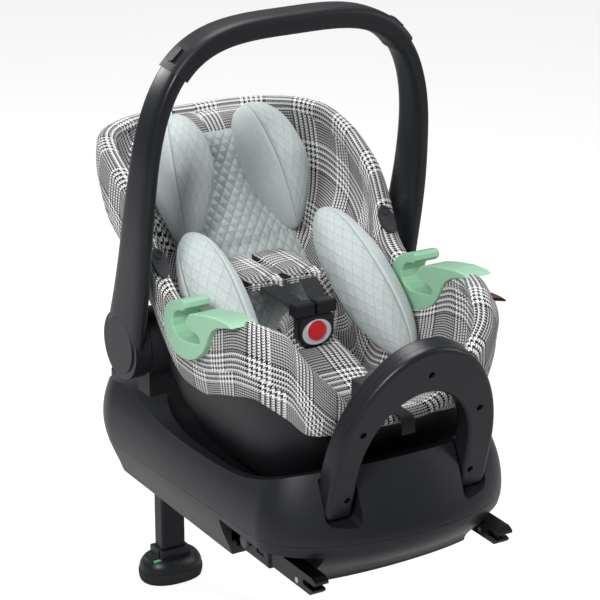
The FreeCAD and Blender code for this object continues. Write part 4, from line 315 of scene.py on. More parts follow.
foam_black = plastic("bead_foam", (0.030, 0.030, 0.031), (0.055, 0.055, 0.057), 0.86, 260.0,
                     0.0004)
green_lens = plastic("green_window", (0.02, 0.35, 0.06), (0.06, 0.55, 0.12), 0.12, 600.0, 0.00001)

# the buckle's face is silver round its button and black towards its corners
SILVER_REACH, SILVER_SQUEEZE, BUTTON_HEIGHT = 0.0176, 0.80, 221.0
silver_face, face_tree, face_shader = new_material("buckle_face_plastic", 0.3)
grained = use_group(face_tree, grain_group, **{"Grain Size": 1500.0, "Gloss": 0.3})
face = partial(calc, face_tree)
face_place = add_node(face_tree, "ShaderNodeSeparateXYZ", {
    "Vector": add_node(face_tree, "ShaderNodeTexCoord").outputs["Object"]}).outputs
wide = face("MULTIPLY", face_place["X"], SILVER_SQUEEZE)
high = face("SUBTRACT", face_place["Z"], at(0, 0, BUTTON_HEIGHT)[2])
away = face("SQRT", face("ADD", face("MULTIPLY", wide, wide), face("MULTIPLY", high, high)))
# the silver takes the grain's Shade, painted edge highlight included
feed(face_shader.inputs["Base Color"],
     blend_colours(face_tree, face("LESS_THAN", away, SILVER_REACH), (0.010, 0.010, 0.012),
                   blend_colours(face_tree, grained["Shade"], SILVER_DARK, SILVER_LIGHT)))
feed(face_shader.inputs["Roughness"], grained["Roughness"])
add_bump(face_tree, face_shader, grained["Height"], 0.00002)
tab_leather = plastic("tab_leather", (0.045, 0.016, 0.008), (0.13, 0.045, 0.020), 0.6, 420.0,
                      0.0002)
print("plastics:", len([m for m in bpy.data.materials if "plastic" in m.name]))

# %% [markdown]
# ## Metals
# The anchor arms and the leg are steel tube with a thin black or bright coat. A stretched
# noise along the arms stands for the drawn surface.


# %% Metals
def metal(name, dark, light, gloss, stretch=(40.0, 2.0, 40.0)):
    """A drawn metal, streaked along its length."""
    material, tree, shader = new_material(name, gloss, 1.0)
    coords = add_node(tree, "ShaderNodeTexCoord").outputs["Object"]
    drawn = add_node(tree, "ShaderNodeMapping", {"Vector": coords, "Scale": stretch})
    streak = noise_of(tree, drawn.outputs["Vector"], 14.0, 5.0)
    feed(shader.inputs["Base Color"], blend_colours(tree, streak, dark, light))
    feed(shader.inputs["Roughness"], calc(tree, "MULTIPLY_ADD", streak, 0.16, gloss - 0.08))
    add_bump(tree, shader, streak, 0.00003)
    return material


frame_steel = metal("frame_steel", (0.16, 0.16, 0.17), (0.26, 0.26, 0.27), 0.42)
bright_steel = metal("bright_steel", (0.42, 0.42, 0.43), (0.60, 0.60, 0.61), 0.28)
leg_metal = metal("leg_black_steel", (0.03, 0.03, 0.034), (0.055, 0.055, 0.06), 0.36,
                  (40.0, 40.0, 2.0))
print("metals:", frame_steel.name, bright_steel.name, leg_metal.name)

# %% [markdown]
# ## Glen check
# The cover is a woollen-look glen check, a traditional pattern that comes from nothing but the
# order of the threads. Bands of four dark and four light threads alternate with wide zones of
# two dark and two light, the same in warp and weft, and the cloth is a two-by-two twill. Where
# two bands cross there is a houndstooth, where two fine zones cross there is grey. The group
# works the threads out from the cloth's own UV map, which is in metres.

# %% Glen check from its threads
THREAD = 0.00095
BAND_THREADS, ZONE_THREADS = 40, 44
ZONE_LIGHT = 0.50


check_group, check, given, made = new_group("glen_check", {"Thread": THREAD},
                                            ("Light", "Height", "Slub"))


def thread_shade(number):
    """1 for a light thread, 0 for a dark one, from the thread's number."""
    place = check("FLOORED_MODULO", number, BAND_THREADS + ZONE_THREADS)
    in_band = check("LESS_THAN", place, BAND_THREADS)
    fours = check("GREATER_THAN", check("FLOORED_MODULO", number, 8.0), 3.5)
    twos = check("GREATER_THAN", check("FLOORED_MODULO", number, 4.0), 1.5)
    rest = check("MULTIPLY", check("SUBTRACT", 1.0, in_band), twos)
    return check("MULTIPLY_ADD", rest, ZONE_LIGHT, check("MULTIPLY", in_band, fours))


cloth, u, v = cloth_map(check_group)
wobble = check("SUBTRACT", noise_of(check_group, cloth, 9.0), 0.5)
shift = check("MULTIPLY", wobble, 0.006)
warp_at = check("DIVIDE", check("ADD", u, shift), given["Thread"])
weft_at = check("DIVIDE", check("SUBTRACT", v, shift), given["Thread"])
warp, weft = check("FLOOR", warp_at), check("FLOOR", weft_at)
twill = check("FLOORED_MODULO", check("ADD", warp, weft), 4.0)
warp_over = check("LESS_THAN", twill, 1.5)
weft_over = check("SUBTRACT", 1.0, warp_over)
for label, of_warp, of_weft in (
        ("Light", thread_shade(warp), thread_shade(weft)),
        ("Height", check("PINGPONG", warp_at, 0.5), check("PINGPONG", weft_at, 0.5))):
    feed(made[label], check("ADD", check("MULTIPLY", warp_over, of_warp),
                            check("MULTIPLY", weft_over, of_weft)))
feed(made["Slub"], noise_of(check_group, cloth, 420.0))
print("a repeat of the check is", round(THREAD * (BAND_THREADS + ZONE_THREADS) * 1000, 1), "mm")


# %% The check as a finish
glen_check, tree, shader = new_material("glen_check_cloth", 0.88)
weave = use_group(tree, check_group)
slubs = calc(tree, "MULTIPLY_ADD", weave["Slub"], 0.20, -0.10)
light = calc(tree, "MULTIPLY_ADD", weave["Light"], 0.94, slubs)
light = calc(tree, "ADD", light, 0.01)
feed(shader.inputs["Base Color"],
     blend_colours(tree, light, (0.005, 0.005, 0.008), (0.88, 0.87, 0.86)))
shader.inputs["Sheen Weight"].default_value = 0.04
shader.inputs["Sheen Roughness"].default_value = 0.5
shader.inputs["Specular IOR Level"].default_value = 0.25
add_bump(tree, shader, weave["Height"], 0.0002, 0.7)
print("finish:", glen_check.name)

# %% [markdown]
# ## The mint knit
# The insert is a mottled jersey in a pale grey mint. Most of it is quilted in diamonds: sewn
# channels that pull the wadding down. The group draws the channels in the piece's UV map, in
# metres, as distance from two crossing families of lines, so the same group serves for the
# puffy relief, for the painted shade that darkens the channels and for plain faces, where its
# strength is zero. The mottling is two noises of different size.

# %% Quilting and knit
quilt_group, quilt, given, made = new_group("diamond_quilting", {"Pitch": 0.0165, "Slant": 0.80},
                                            ("Puff", "Channel"))
_, u, v = cloth_map(quilt_group)
slanted = quilt("MULTIPLY", v, given["Slant"])
rows = []
for operation in ("ADD", "SUBTRACT"):
    rows.append(rib_wave(quilt_group, quilt(operation, u, slanted), given["Pitch"]))
near = quilt("SMOOTH_MIN", rows[0], rows[1], 0.12)
feed(made["Puff"], quilt("POWER", quilt("MAXIMUM", near, 0.0), 0.5))
# Channel: a mask along the sewn lines, used for the painted shade there
channel = quilt("SUBTRACT", 1.0, quilt("MULTIPLY", near, 14.0))
feed(made["Channel"], quilt("MAXIMUM", channel, 0.0))

knit_group, knit, given, made = new_group("mottled_knit", {"Loop": 0.0009}, ("Mottle", "Height"))
cloth, u, v = cloth_map(knit_group)
clouds = knit("MULTIPLY", noise_of(knit_group, cloth, 22.0), 0.25)
feed(made["Mottle"], knit("MULTIPLY_ADD", noise_of(knit_group, cloth, 260.0, 6.0), 0.75, clouds))
wale, course = (rib_wave(knit_group, line, given["Loop"]) for line in (u, v))
feed(made["Height"], knit("MULTIPLY", wale, course))
print("groups:", quilt_group.name, knit_group.name)


# %% Mint finishes
def mint_knit(name, quilting):
    """The mint jersey, quilted or plain."""
    material, tree, shader = new_material(name, 0.9)
    loops = use_group(tree, knit_group)
    colour = blend_colours(tree, loops["Mottle"], (0.350, 0.402, 0.394), (0.550, 0.606, 0.598))
    shader.inputs["Sheen Weight"].default_value = 0.2
    shader.inputs["Sheen Roughness"].default_value = 0.4
    shader.inputs["Specular IOR Level"].default_value = 0.2
    height = calc(tree, "MULTIPLY", loops["Height"], 0.10)
    if quilting:
        quilted = use_group(tree, quilt_group)
        height = calc(tree, "MULTIPLY_ADD", quilted["Puff"], quilting, height)
        # painted shade: the channels darken in colour, more where the quilting is deeper
        painted_channel_shade = calc(tree, "MULTIPLY", quilted["Channel"], 0.12 + 0.38 * quilting)
        colour = blend_colours(tree, painted_channel_shade, colour, (0.235, 0.300, 0.285))
    stitches = add_node(tree, "ShaderNodeAttribute", attribute_name="seam").outputs["Fac"]
    sewn = calc(tree, "MULTIPLY", calc(tree, "POWER", stitches, 2.5), 0.75)
    feed(shader.inputs["Base Color"], blend_colours(tree, sewn, colour, (0.10, 0.13, 0.125)))
    add_bump(tree, shader, height, 0.0016)
    return material


mint_quilt = mint_knit("mint_quilted_knit", 1.0)
mint_soft_quilt = mint_knit("mint_lightly_quilted_knit", 0.60)
mint_plain = mint_knit("mint_plain_knit", 0.0)
print("mint finishes:", mint_quilt.name, mint_soft_quilt.name, mint_plain.name)

# %% [markdown]
# ## Webbing
# Harness webbing is a close ribbed weave of polyester with a slight shine. The ribs run across
# the strap and are drawn from the UV map, with a shallow selvedge on either side made in the
# mesh.

# %% Webbing
web_group, web, given, made = new_group("webbing_ribs", {"Rib": 0.0012}, ("Height", "Shade"))
cloth, u, v = cloth_map(web_group)
along, across = (rib_wave(web_group, line, given["Rib"]) for line in (u, v))
feed(made["Height"], web("MULTIPLY_ADD", across, 1.4, along))
feed(made["Shade"], noise_of(web_group, cloth, 300.0))
webbing, tree, shader = new_material("black_webbing", 0.62)
ribs = use_group(tree, web_group)
feed(shader.inputs["Base Color"],
     blend_colours(tree, ribs["Shade"], (0.005, 0.005, 0.007), (0.013, 0.013, 0.016)))
shader.inputs["Sheen Weight"].default_value = 0.03
shader.inputs["Specular IOR Level"].default_value = 0.25
add_bump(tree, shader, ribs["Height"], 0.0003)
print("finish:", webbing.name)

# %% [markdown]
# ## Finishes on the hard pieces
# The CAD pieces whose shape is right stay as they are and only get their finish.

# %% Dress the CAD pieces
FINISHES = (
    (base_black, "base_upper_cover base_lower_housing rebound_bar_front rebound_bar_rear "
                 "leg_collar foot_shell isofix_housing_left isofix_housing_right"),
    (frame_steel, "base_frame"),
    (bright_steel, "base_screws leg_pivot_pin docking_latch docking_rods hub_pins "
                   "isofix_hook_left isofix_hook_right"),
    (leg_metal, "rebound_bar_screws leg_outer_tube leg_inner_tube isofix_arm_left "
                "isofix_arm_right"),
    (release_grey, "release_handle leg_height_button adapter_release_left "
                   "adapter_release_right isofix_release_left isofix_release_right"),
    (rubber, "foot_sole"), (green_lens, "foot_indicators"), (foam_black, "foam_liner"),
    (shell_black, "carrier_shell hub_bosses"), (handle_black, "handle_arch"),
    (grip_black, "handle_grip"), (dark_grey, "hood_mounts adjuster_button"),
    (cap_black, "hub_caps buckle_body buckle_tongues handle_button_left handle_button_right"),
    (silver_face, "buckle_face"), (red_plastic, "buckle_button"),
    (mint_plastic, "belt_guide_left belt_guide_right"))
dressed = []
for finish, names in FINISHES:
    for node in names.split():
        materials = NODES[node].data.materials
        if not materials:
            materials.append(finish)
        for index in range(len(materials)):
            materials[index] = finish
        dressed.append(node)
print("dressed:", len(dressed))


# %% [markdown]
# ## Helpers for soft pieces
# Soft pieces start from a primitive that bmesh makes, divided finely enough to bend, and each
# point is then moved by a function of its place. Every helper writes the UV map in metres
# that the cloth groups read. `soft_object` keeps the mesh smooth, parents it to the body it
# rides on and hides the CAD solid it stands for.

# %% Make a soft object
def soft_object(name, shape, finishes, body, replaced=(), levels=1):
    """An object from a finished bmesh, riding on a body."""
    bmesh.ops.recalc_face_normals(shape, faces=shape.faces)
    mesh = bpy.data.meshes.new(name)
    shape.to_mesh(mesh)
    shape.free()
    for finish in finishes:
        mesh.materials.append(finish)
    for face in mesh.polygons:
        face.use_smooth = True
    piece = bpy.data.objects.new(name, mesh)
    bpy.context.scene.collection.objects.link(piece)
    if levels:
        smooth = piece.modifiers.new("smooth", "SUBSURF")
        smooth.levels = smooth.render_levels = levels
        smooth.uv_smooth = "PRESERVE_CORNERS"
    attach(piece, body)
    if replaced:
        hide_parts(*replaced)
    print(name, len(mesh.polygons), "faces")
    return piece


def lay_map(shape, place_of):
    """The cloth's UV map in metres, from a function of a point."""
    layer = shape.loops.layers.uv.new("cloth")
    for face in shape.faces:
        for loop in face.loops:
            loop[layer].uv = place_of(loop.vert)


def add_wall(piece, thick):
    """A wall for a sheet, half of it on either side."""
    wall = piece.modifiers.new("thickness", "SOLIDIFY")
    wall.thickness = thick / 1000.0
    wall.offset = 0.0


def spread(value, table):
    """A smooth value read between the rows of a table of (place, value, ...)."""
    if value <= table[0][0]:
        return table[0][1:]
    for index in range(len(table) - 1):
        low, high = table[index], table[index + 1]
        if value <= high[0]:
            break
    else:
        return table[-1][1:]
    before, after = table[max(index - 1, 0)], table[min(index + 2, len(table) - 1)]
    width = high[0] - low[0]
    t = (value - low[0]) / width
    result = []
    for a, b, c, d in zip(before[1:], low[1:], high[1:], after[1:]):
        start = (c - a) / max(high[0] - before[0], 1e-6) * width
        end = (d - b) / max(after[0] - low[0], 1e-6) * width
        result.append((2 * t ** 3 - 3 * t * t + 1) * b + (t ** 3 - 2 * t * t + t) * start
                      + (3 * t * t - 2 * t ** 3) * c + (t ** 3 - t * t) * end)
    return tuple(result)


def ease(value):
    """A smooth step from 0 to 1."""
    value = min(max(value, 0.0), 1.0)
    return value * value * (3 - 2 * value)


print("soft helpers ready")

# %% [markdown]
# ## The seat cover
# The cover is one padded cloth that hangs down outside the shell to a loose hem, rolls over
# the rim and lines the inside. It is made here as one grid: its columns run round the seat,
# its rows run from the hem over the rim to the middle of the seat. Each column is a vertical
# cut through the carrier's form, which is the same boat shape, level by level, that the CAD
# is lofted from, so cloth and shell agree. Panels are sewn together along rows, with a narrow
# groove and a raised lip, and the check starts anew in each panel as it does on a real cover.

# %% The carrier's form
FORM = [(40, 75, 160, 250, 335), (52, 105, 130, 250, 370), (85, 135, 98, 255, 440),
        (130, 155, 66, 262, 462), (180, 170, 38, 270, 472), (240, 180, 30, 280, 482),
        (290, 184, 42, 300, 508), (335, 190, 180, 400, 538), (385, 190, 300, 440, 568),
        (430, 185, 340, 455, 588), (475, 172, 380, 470, 594)]
RIM = [(-80, 225), (34, 238), (49, 273), (61, 291), (89, 299), (142, 304), (151, 301),
       (201, 279), (244, 273), (303, 277), (347, 311), (383, 367), (403, 389),
       (448, 417), (478, 430), (509, 440), (556, 446), (640, 449)]
HEM = [(-80, 168), (28, 168), (60, 186), (100, 206), (121, 211), (160, 196), (228, 173),
       (290, 174), (335, 205), (362, 245), (391, 250), (428, 263), (454, 296),
       (486, 341), (522, 393), (548, 408), (660, 410)]
# the rim under the child's knees: place across and height
LIP = [(0, 178), (66, 178), (80, 196), (112, 250), (150, 304), (200, 340)]
MIDDLE_Y = 380.0
# how square the plan is towards the feet and towards the head
FOOT_POWER, HEAD_POWER = 4.6, 2.6
# the back rest and the seat: where they meet, their heights there and their slopes
REST_Y, BACK_FOOT, SEAT_HEEL = 345.0, 125.0, 113.0
BACK_ANGLE, SEAT_ANGLE = math.radians(55.7), math.radians(12.0)


def outside(x, y, level, grow):
    """Above 1 where a place lies outside the form at a level."""
    half, foot, widest, head = spread(level, FORM)
    if y < widest:
        reach, power = widest - foot + grow, FOOT_POWER
    else:
        reach, power = head + grow - widest, HEAD_POWER
    return (abs(x) / (half + grow)) ** power + (abs(y - widest) / reach) ** power


def form_reach(direction, level, grow):
    """How far the form reaches from the middle in a direction, at a level."""
    half, foot, widest, head = spread(level, FORM)
    low = max(0.0, (widest - MIDDLE_Y) * direction[1])
    high = 700.0
    for _ in range(26):
        middle = (low + high) / 2
        if outside(middle * direction[0], MIDDLE_Y + middle * direction[1], level, grow) > 1:
            high = middle
        else:
            low = middle
    return low


def rim_level(direction):
    """The height at which a column meets the rim."""
    level = 150.0
    while level < 470.0:
        reach = form_reach(direction, level, 0.0)
        x, y = reach * direction[0], MIDDLE_Y + reach * direction[1]
        top = spread(y, RIM)[0]
        if y < 145 and abs(x) < 150:
            top = min(top, spread(abs(x), LIP)[0])
        if level >= top:
            return level
        level += 1.0
    return level


def seat_level(y):
    """The height of the seat at a distance from the anchors."""
    return SEAT_HEEL + math.tan(SEAT_ANGLE) * (REST_Y - y)


def bowl_floor(y):
    """The height of the seat or the back rest at a distance from the anchors."""
    return max(BACK_FOOT + math.tan(BACK_ANGLE) * (y - REST_Y), seat_level(y))


print("rim at the sides:", round(rim_level((1.0, 0.0)), 1), "mm")


# %% Rows and columns of the cover
ROUND = 240
OUT_ROWS, ROLL_ROWS, IN_ROWS, FLOOR_ROWS = 20, 7, 18, 12
SEAM_OUT, SEAM_IN = 9, OUT_ROWS + ROLL_ROWS + 3
# how far the cloth lies off the form's skin outside, at the rim and inside
HANG_OFF, ROLL_OFF, LINING_OFF = 4.2, 4.4, -20.7
ROLL_DROP, ROLL_RISE = 7.0, 8.5
TUCK_ROWS = 3


def column_profile(direction, top):
    """One column as (reach, level, panel) from the tucked hem to the middle of the seat."""
    reach = form_reach(direction, top, 0.0)
    rim_y = MIDDLE_Y + reach * direction[1]
    hem = min(spread(rim_y, HEM)[0], top - 10.0)
    places = []
    for row in range(TUCK_ROWS):
        turn = row / 2
        level = hem + 1.5 - 1.5 * math.sin(turn * math.pi / 2)
        places.append((form_reach(direction, level, 0.2 + 3.6 * turn), level, 0))
    under = top - ROLL_DROP
    for row in range(1, OUT_ROWS + 1):
        share = row / OUT_ROWS
        level = hem + (under - hem) * share
        bulge = HANG_OFF + 1.2 * math.sin(math.pi * share)
        places.append((form_reach(direction, level, bulge), level, 0 if row < SEAM_OUT else 1))
    outer, inner = (form_reach(direction, under, off) for off in (ROLL_OFF, LINING_OFF))
    middle, half = (outer + inner) / 2, (outer - inner) / 2
    for row in range(1, ROLL_ROWS + 1):
        turn = math.pi * row / (ROLL_ROWS + 1)
        places.append((middle + half * math.cos(turn), under + ROLL_RISE * math.sin(turn), 1))
    low = under
    while low > 20.0:
        edge = form_reach(direction, low, LINING_OFF)
        if bowl_floor(MIDDLE_Y + edge * direction[1]) >= low:
            break
        low -= 1.0
    for row in range(IN_ROWS):
        level = under - (under - low) * row / (IN_ROWS - 1)
        places.append((form_reach(direction, level, LINING_OFF), level, 1 if row < 3 else 2))
    edge = places[-1][0]
    for row in range(1, FLOOR_ROWS + 1):
        reach = edge * (1 - row / (FLOOR_ROWS + 0.6))
        level = bowl_floor(MIDDLE_Y + reach * direction[1])
        blend = ease(row / 4)
        places.append((reach, low + (level - low) * blend if row < 4 else level, 2))
    return places


directions = []
for column in range(ROUND):
    angle = 2 * math.pi * column / ROUND
    # columns gather where the plan turns its corners at the foot end
    angle += 0.10 * math.sin(2 * angle)
    directions.append((math.sin(angle), math.cos(angle)))
rims = [rim_level(direction) for direction in directions]
true_rims = list(rims)
for _ in range(3):
    rims = [(rims[i - 1] + 2 * rims[i] + rims[(i + 1) % ROUND]) / 4 for i in range(ROUND)]
# the cloth never dips under the shell's rim between two columns
for _ in range(4):
    rims = [max(rims[i], true_rims[i], (rims[i - 1] + rims[(i + 1) % ROUND]) / 2)
            for i in range(ROUND)]
columns = [column_profile(direction, top) for direction, top in zip(directions, rims)]
ROWS = len(columns[0])
print("cover:", ROUND, "columns of", ROWS, "rows, rim", round(min(rims)), "to", round(max(rims)))


# %% Room for the belt guides
GUIDE = [(126, 302), (134, 306), (162, 304.5), (200, 297), (226, 290), (236, 286), (246, 291),
         (247, 297), (252, 300), (262, 298), (284, 289), (298, 279), (305, 266), (304, 250),
         (298, 236), (288, 226), (274, 220), (256, 219), (238, 222), (220, 230), (204, 242),
         (193, 256), (186, 270), (178, 281), (164, 290), (146, 296)]
BELT_SLOT = [(236, 286), (244, 278), (246, 273), (240, 268), (226, 265), (216, 264), (210, 262),
             (208, 258), (210, 254), (216, 252), (240, 247), (260, 245), (272, 249), (280, 256),
             (281, 266), (277, 275), (268, 281), (252, 285), (246, 291)]
GUIDE_INNER, GUIDE_OUTER = 160.5, 192.5
# only cloth this far out, and in this window in side view, is near a guide
FAR_OUT = 140
WINDOW_Y, WINDOW_Z = (100, 330), (195, 330)
GUIDE_Y, GUIDE_Z = (140, 304), (216, 300)


def within(y, z, outline):
    """Whether a place in side view lies inside an outline."""
    found = False
    for (y0, z0), (y1, z1) in zip(outline, outline[1:] + outline[:1]):
        if (z0 > z) != (z1 > z) and y < y0 + (z - z0) / (z1 - z0) * (y1 - y0):
            found = not found
    return found


def under_guide(x, y, z):
    """The cloth's x, drawn in where a belt guide clips over it."""
    if (abs(x) < FAR_OUT or not WINDOW_Y[0] < y < WINDOW_Y[1]
            or not WINDOW_Z[0] < z < WINDOW_Z[1]):
        return x
    if within(y, z, GUIDE):
        return math.copysign(min(max(abs(x), GUIDE_INNER), GUIDE_OUTER), x)
    away = sum(max(0.0, low - value, value - high)
               for value, (low, high) in ((y, GUIDE_Y), (z, GUIDE_Z)))
    return math.copysign(min(abs(x), GUIDE_OUTER + 1.2 + 0.35 * away), x)


print("guide outline:", len(GUIDE), "points")


# %% Cloth of the cover
OUT_END = OUT_ROWS + TUCK_ROWS
ROLL_END = OUT_END + ROLL_ROWS
IN_END = ROLL_END + IN_ROWS
FREE_HANG, HEM_HANG, LINING_WAVE, FLOOR_WAVE = 0.9, 2.6, 0.8, 0.3
SEAM_GROOVE, SEAM_LIP = 1.1, 0.5


def cover_place(column, row):
    """A point of the cover in millimetres, with the folds of hanging cloth."""
    direction = directions[column % ROUND]
    reach, level, _ = columns[column % ROUND][row]
    x, y = reach * direction[0], MIDDLE_Y + reach * direction[1]
    flow = Vector((x * 0.016, y * 0.016, level * 0.006))
    fold = noise.noise(flow) + 0.5 * noise.noise(flow * 2.3 + Vector((7.1, 0, 3.3)))
    if row < OUT_END:
        hang = 1.0 - row / OUT_END
        push = (FREE_HANG + HEM_HANG * hang * hang) * fold
        level -= 1.6 * hang * (1 + noise.noise(Vector((x * 0.03, y * 0.03, 4.0))))
    else:
        push = (LINING_WAVE if row < IN_END else FLOOR_WAVE) * fold
    for seam in (SEAM_OUT + 2, SEAM_IN):
        if row == seam:
            push -= SEAM_GROOVE
        elif row == seam + 1:
            push += SEAM_LIP
    if row >= ROLL_END:
        push = -push
    x, y = x + push * direction[0], y + push * direction[1]
    return (under_guide(x, y, level), y, level)


def run_along(points):
    """The length run at each of a line's points."""
    run = [0.0]
    for here, there in zip(points, points[1:]):
        run.append(run[-1] + (there - here).length)
    return run


def grid_shape(across, along):
    """A grid and its points in order, row by row."""
    shape = bmesh.new()
    bmesh.ops.create_grid(shape, x_segments=across, y_segments=along, size=1.0)
    shape.verts.index_update()
    return shape, sorted(shape.verts, key=lambda v: (round(v.co.y, 5), round(v.co.x, 5)))


shape, grid_points = grid_shape(ROUND, ROWS - 1)
cloth_places = [[Vector(cover_place(column, row)) for row in range(ROWS)]
                for column in range(ROUND + 1)]
lengths = run_along([places[OUT_END] for places in cloth_places])
heights = []
for places in cloth_places:
    run = run_along(places)
    heights.append([value - run[OUT_END + 2] for value in run])
spot_of = {}
for index, point in enumerate(grid_points):
    row, column = divmod(index, ROUND + 1)
    spot_of[point.index] = (column, row)
    point.co = at(*cover_place(column, row))
uv_layer = shape.loops.layers.uv.new("cloth")
for face in shape.faces:
    spots = [spot_of[loop.vert.index] for loop in face.loops]
    panel = columns[0][min(min(spot[1] for spot in spots) + 1, ROWS - 1)][2]
    for loop, (column, row) in zip(face.loops, spots):
        u, v = lengths[column] / 1000.0, heights[column][row] / 1000.0
        # the check starts anew in each panel, and runs aslant in the lining
        if panel == 0:
            u, v = u + 0.021, v + 0.009
        elif panel == 2:
            u, v = u * 0.96 - v * 0.22 + 0.013, v + u * 0.05
        loop[uv_layer].uv = (u, v)
print("cloth round the rim:", round(lengths[-1]), "mm")


# %% Openings of the cover
button_low, button_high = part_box("adjuster_button")


def over_button(place):
    """Whether a place lies over the adjuster's button."""
    return (all(button_low[i] < place[i] < button_high[i] for i in range(2))
            and place.z > button_low[2] - 0.02)


cut_away = []
for face in shape.faces:
    corners = [cover_place(*spot_of[vert.index]) for vert in face.verts]
    if (any(abs(x) > FAR_OUT and within(y, z, BELT_SLOT) for x, y, z in corners)
            or any(over_button(at(*corner)) for corner in corners)):
        cut_away.append(face)
bmesh.ops.delete(shape, geom=cut_away, context="FACES")
print("faces cut away in the belt slots and at the adjuster:", len(cut_away))
bmesh.ops.remove_doubles(shape, verts=shape.verts, dist=0.00002)
floor_middle = at(0, MIDDLE_Y, bowl_floor(MIDDLE_Y))
last = [v for v in shape.verts if any(len(e.link_faces) == 1 for e in v.link_edges)
        and (v.co - floor_middle).length < 0.06]
last_edges = [e for e in shape.edges
              if len(e.link_faces) == 1 and all(v in last for v in e.verts)]
bmesh.ops.holes_fill(shape, edges=last_edges, sides=0)
soft_object("cover_cloth", shape, [glen_check], "carrier", ("seat_cover",))


# %% [markdown]
# ## Pads
# A pad starts as a cube with its faces divided, and a function then lays it along the back or
# the seat: flat underneath, crowned on top, thin and rounded at its sewn edge. One helper
# keeps the UV map in metres for quilting and knit.

# %% A helper for pads
PITCH, SLANT = 16.5, 0.80


def pad(name, cuts, form, flat_uv, finish, body, replaced):
    """A divided cube whose points are moved by a form of (across, along, through)."""
    shape = bmesh.new()
    bmesh.ops.create_cube(shape, size=2.0)
    bmesh.ops.subdivide_edges(shape, edges=shape.edges, cuts=cuts, use_grid_fill=True)
    lay_map(shape, lambda vert: flat_uv(*vert.co))
    for vert in shape.verts:
        vert.co = form(*vert.co)
    soft_object(name, shape, [finish], body, (replaced,))


def back_place(x, along, off):
    """Millimetres of a place on the back rest: across, up along it and off it."""
    return (x, REST_Y + along * math.cos(BACK_ANGLE) - off * math.sin(BACK_ANGLE),
            BACK_FOOT + along * math.sin(BACK_ANGLE) + off * math.cos(BACK_ANGLE))


def squircle(a, b, roundness=0.5):
    """A square's place moved so that its corners are rounded."""
    return (a * math.sqrt(1 - roundness * b * b / 2), b * math.sqrt(1 - roundness * a * a / 2))


def diamond_relief(u, v):
    """How far quilting stands up between its channels, 0 to 1, with places in millimetres."""
    gaps = []
    for line in ((u + v * SLANT) / PITCH, (u - v * SLANT) / PITCH):
        gaps.append(abs(line - math.floor(line + 0.5)))
    return min(*gaps, 0.5) ** 0.5 * 1.414


print("pad helpers ready")


# %% Back insert
BACK_HALF, BACK_LONG = 107, 182


def back_form(a, b, c):
    """The quilted back insert, as wide as the space between the bolsters and wings."""
    x, s = squircle(a, b, 0.22)
    across, along = x * BACK_HALF * (1 - 0.16 * (s + 1) / 2), 186 + s * BACK_LONG
    full = 1 - max(abs(a), abs(b)) ** 8
    puff = diamond_relief(a * BACK_HALF, b * BACK_LONG) * 2.1 * full
    if c > 0.999:
        off = 1.6 + 1.8 * full + puff + 2.4 * (a * a) * full
    elif c < -0.999:
        off = -6.6
    else:
        off = -6.6 + (8.2 + 1.8 * full) * (c + 1) / 2
    return at(*back_place(across, along, off))


pad("insert_back_quilted", 62, back_form, lambda a, b, c: (a * 0.107, b * 0.182), mint_quilt,
    "carrier", "insert_back")


# %% Seat insert
SEAT_HALF, SEAT_LONG, SEAT_THICK = 68, 83, 18.5


def seat_form(a, b, c):
    """The seat pad, which runs out towards the knees."""
    x, s = squircle(a, b)
    across, y = x * SEAT_HALF, 260 - s * SEAT_LONG
    full = 1 - max(abs(a), abs(b)) ** 6
    ground = seat_level(y)
    if c > 0.999:
        puff = diamond_relief(a * SEAT_HALF, b * SEAT_LONG) * 1.9 * full
        height = ground + (SEAT_THICK * full + puff)
    else:
        height = ground + SEAT_THICK * full * (max(c, -1.0) + 1) / 2
    return at(across, y, height + 1.0)


pad("insert_seat_quilted", 48, seat_form, lambda a, b, c: (a * 0.068, b * 0.083), mint_quilt,
    "carrier", "insert_seat")


# %% Head pad
HEAD_HALF, HEAD_LONG, HEAD_PAD_LIFT = 99, 82, 7.0


def head_form(a, b, c):
    """The quilted head pad between the wings, lifted off the back rest at its top."""
    x, s = squircle(a, b, 0.3)
    across, along = x * HEAD_HALF * (1 - 0.16 * (s + 1) / 2), 269 + s * HEAD_LONG
    full = 1 - max(abs(a), abs(b)) ** 7
    puff = diamond_relief(a * HEAD_HALF, b * HEAD_LONG) * 2.1 * full
    lift = HEAD_PAD_LIFT * ease((s - 0.35) / 0.65)
    low, top = 4.2 + lift, 5.0 + 3.0 * full + puff + lift
    return at(*back_place(across, along, low + (top - low) * (c + 1) / 2))


pad("head_pad_quilted", 56, head_form, lambda a, b, c: (a * 0.099, b * 0.082), mint_quilt,
    "headrest", "headrest_pad")

# %% [markdown]
# ## Wings and bolsters
# The head wings and the side bolsters are stuffed paddles, sewn from three panels: a quilted
# one and a plain one on each side of it, with a seam wherever two of them meet. A ball gives
# even rings of points, which are then stretched along a middle line, flattened to a rounded
# section and pulled in at the seams. A wing is cut flat where it lies on the head pad.


# %% A helper for paddles
RINGS = 120
PADDLE_GROOVE, PADDLE_PIPING = 2.4, 0.6


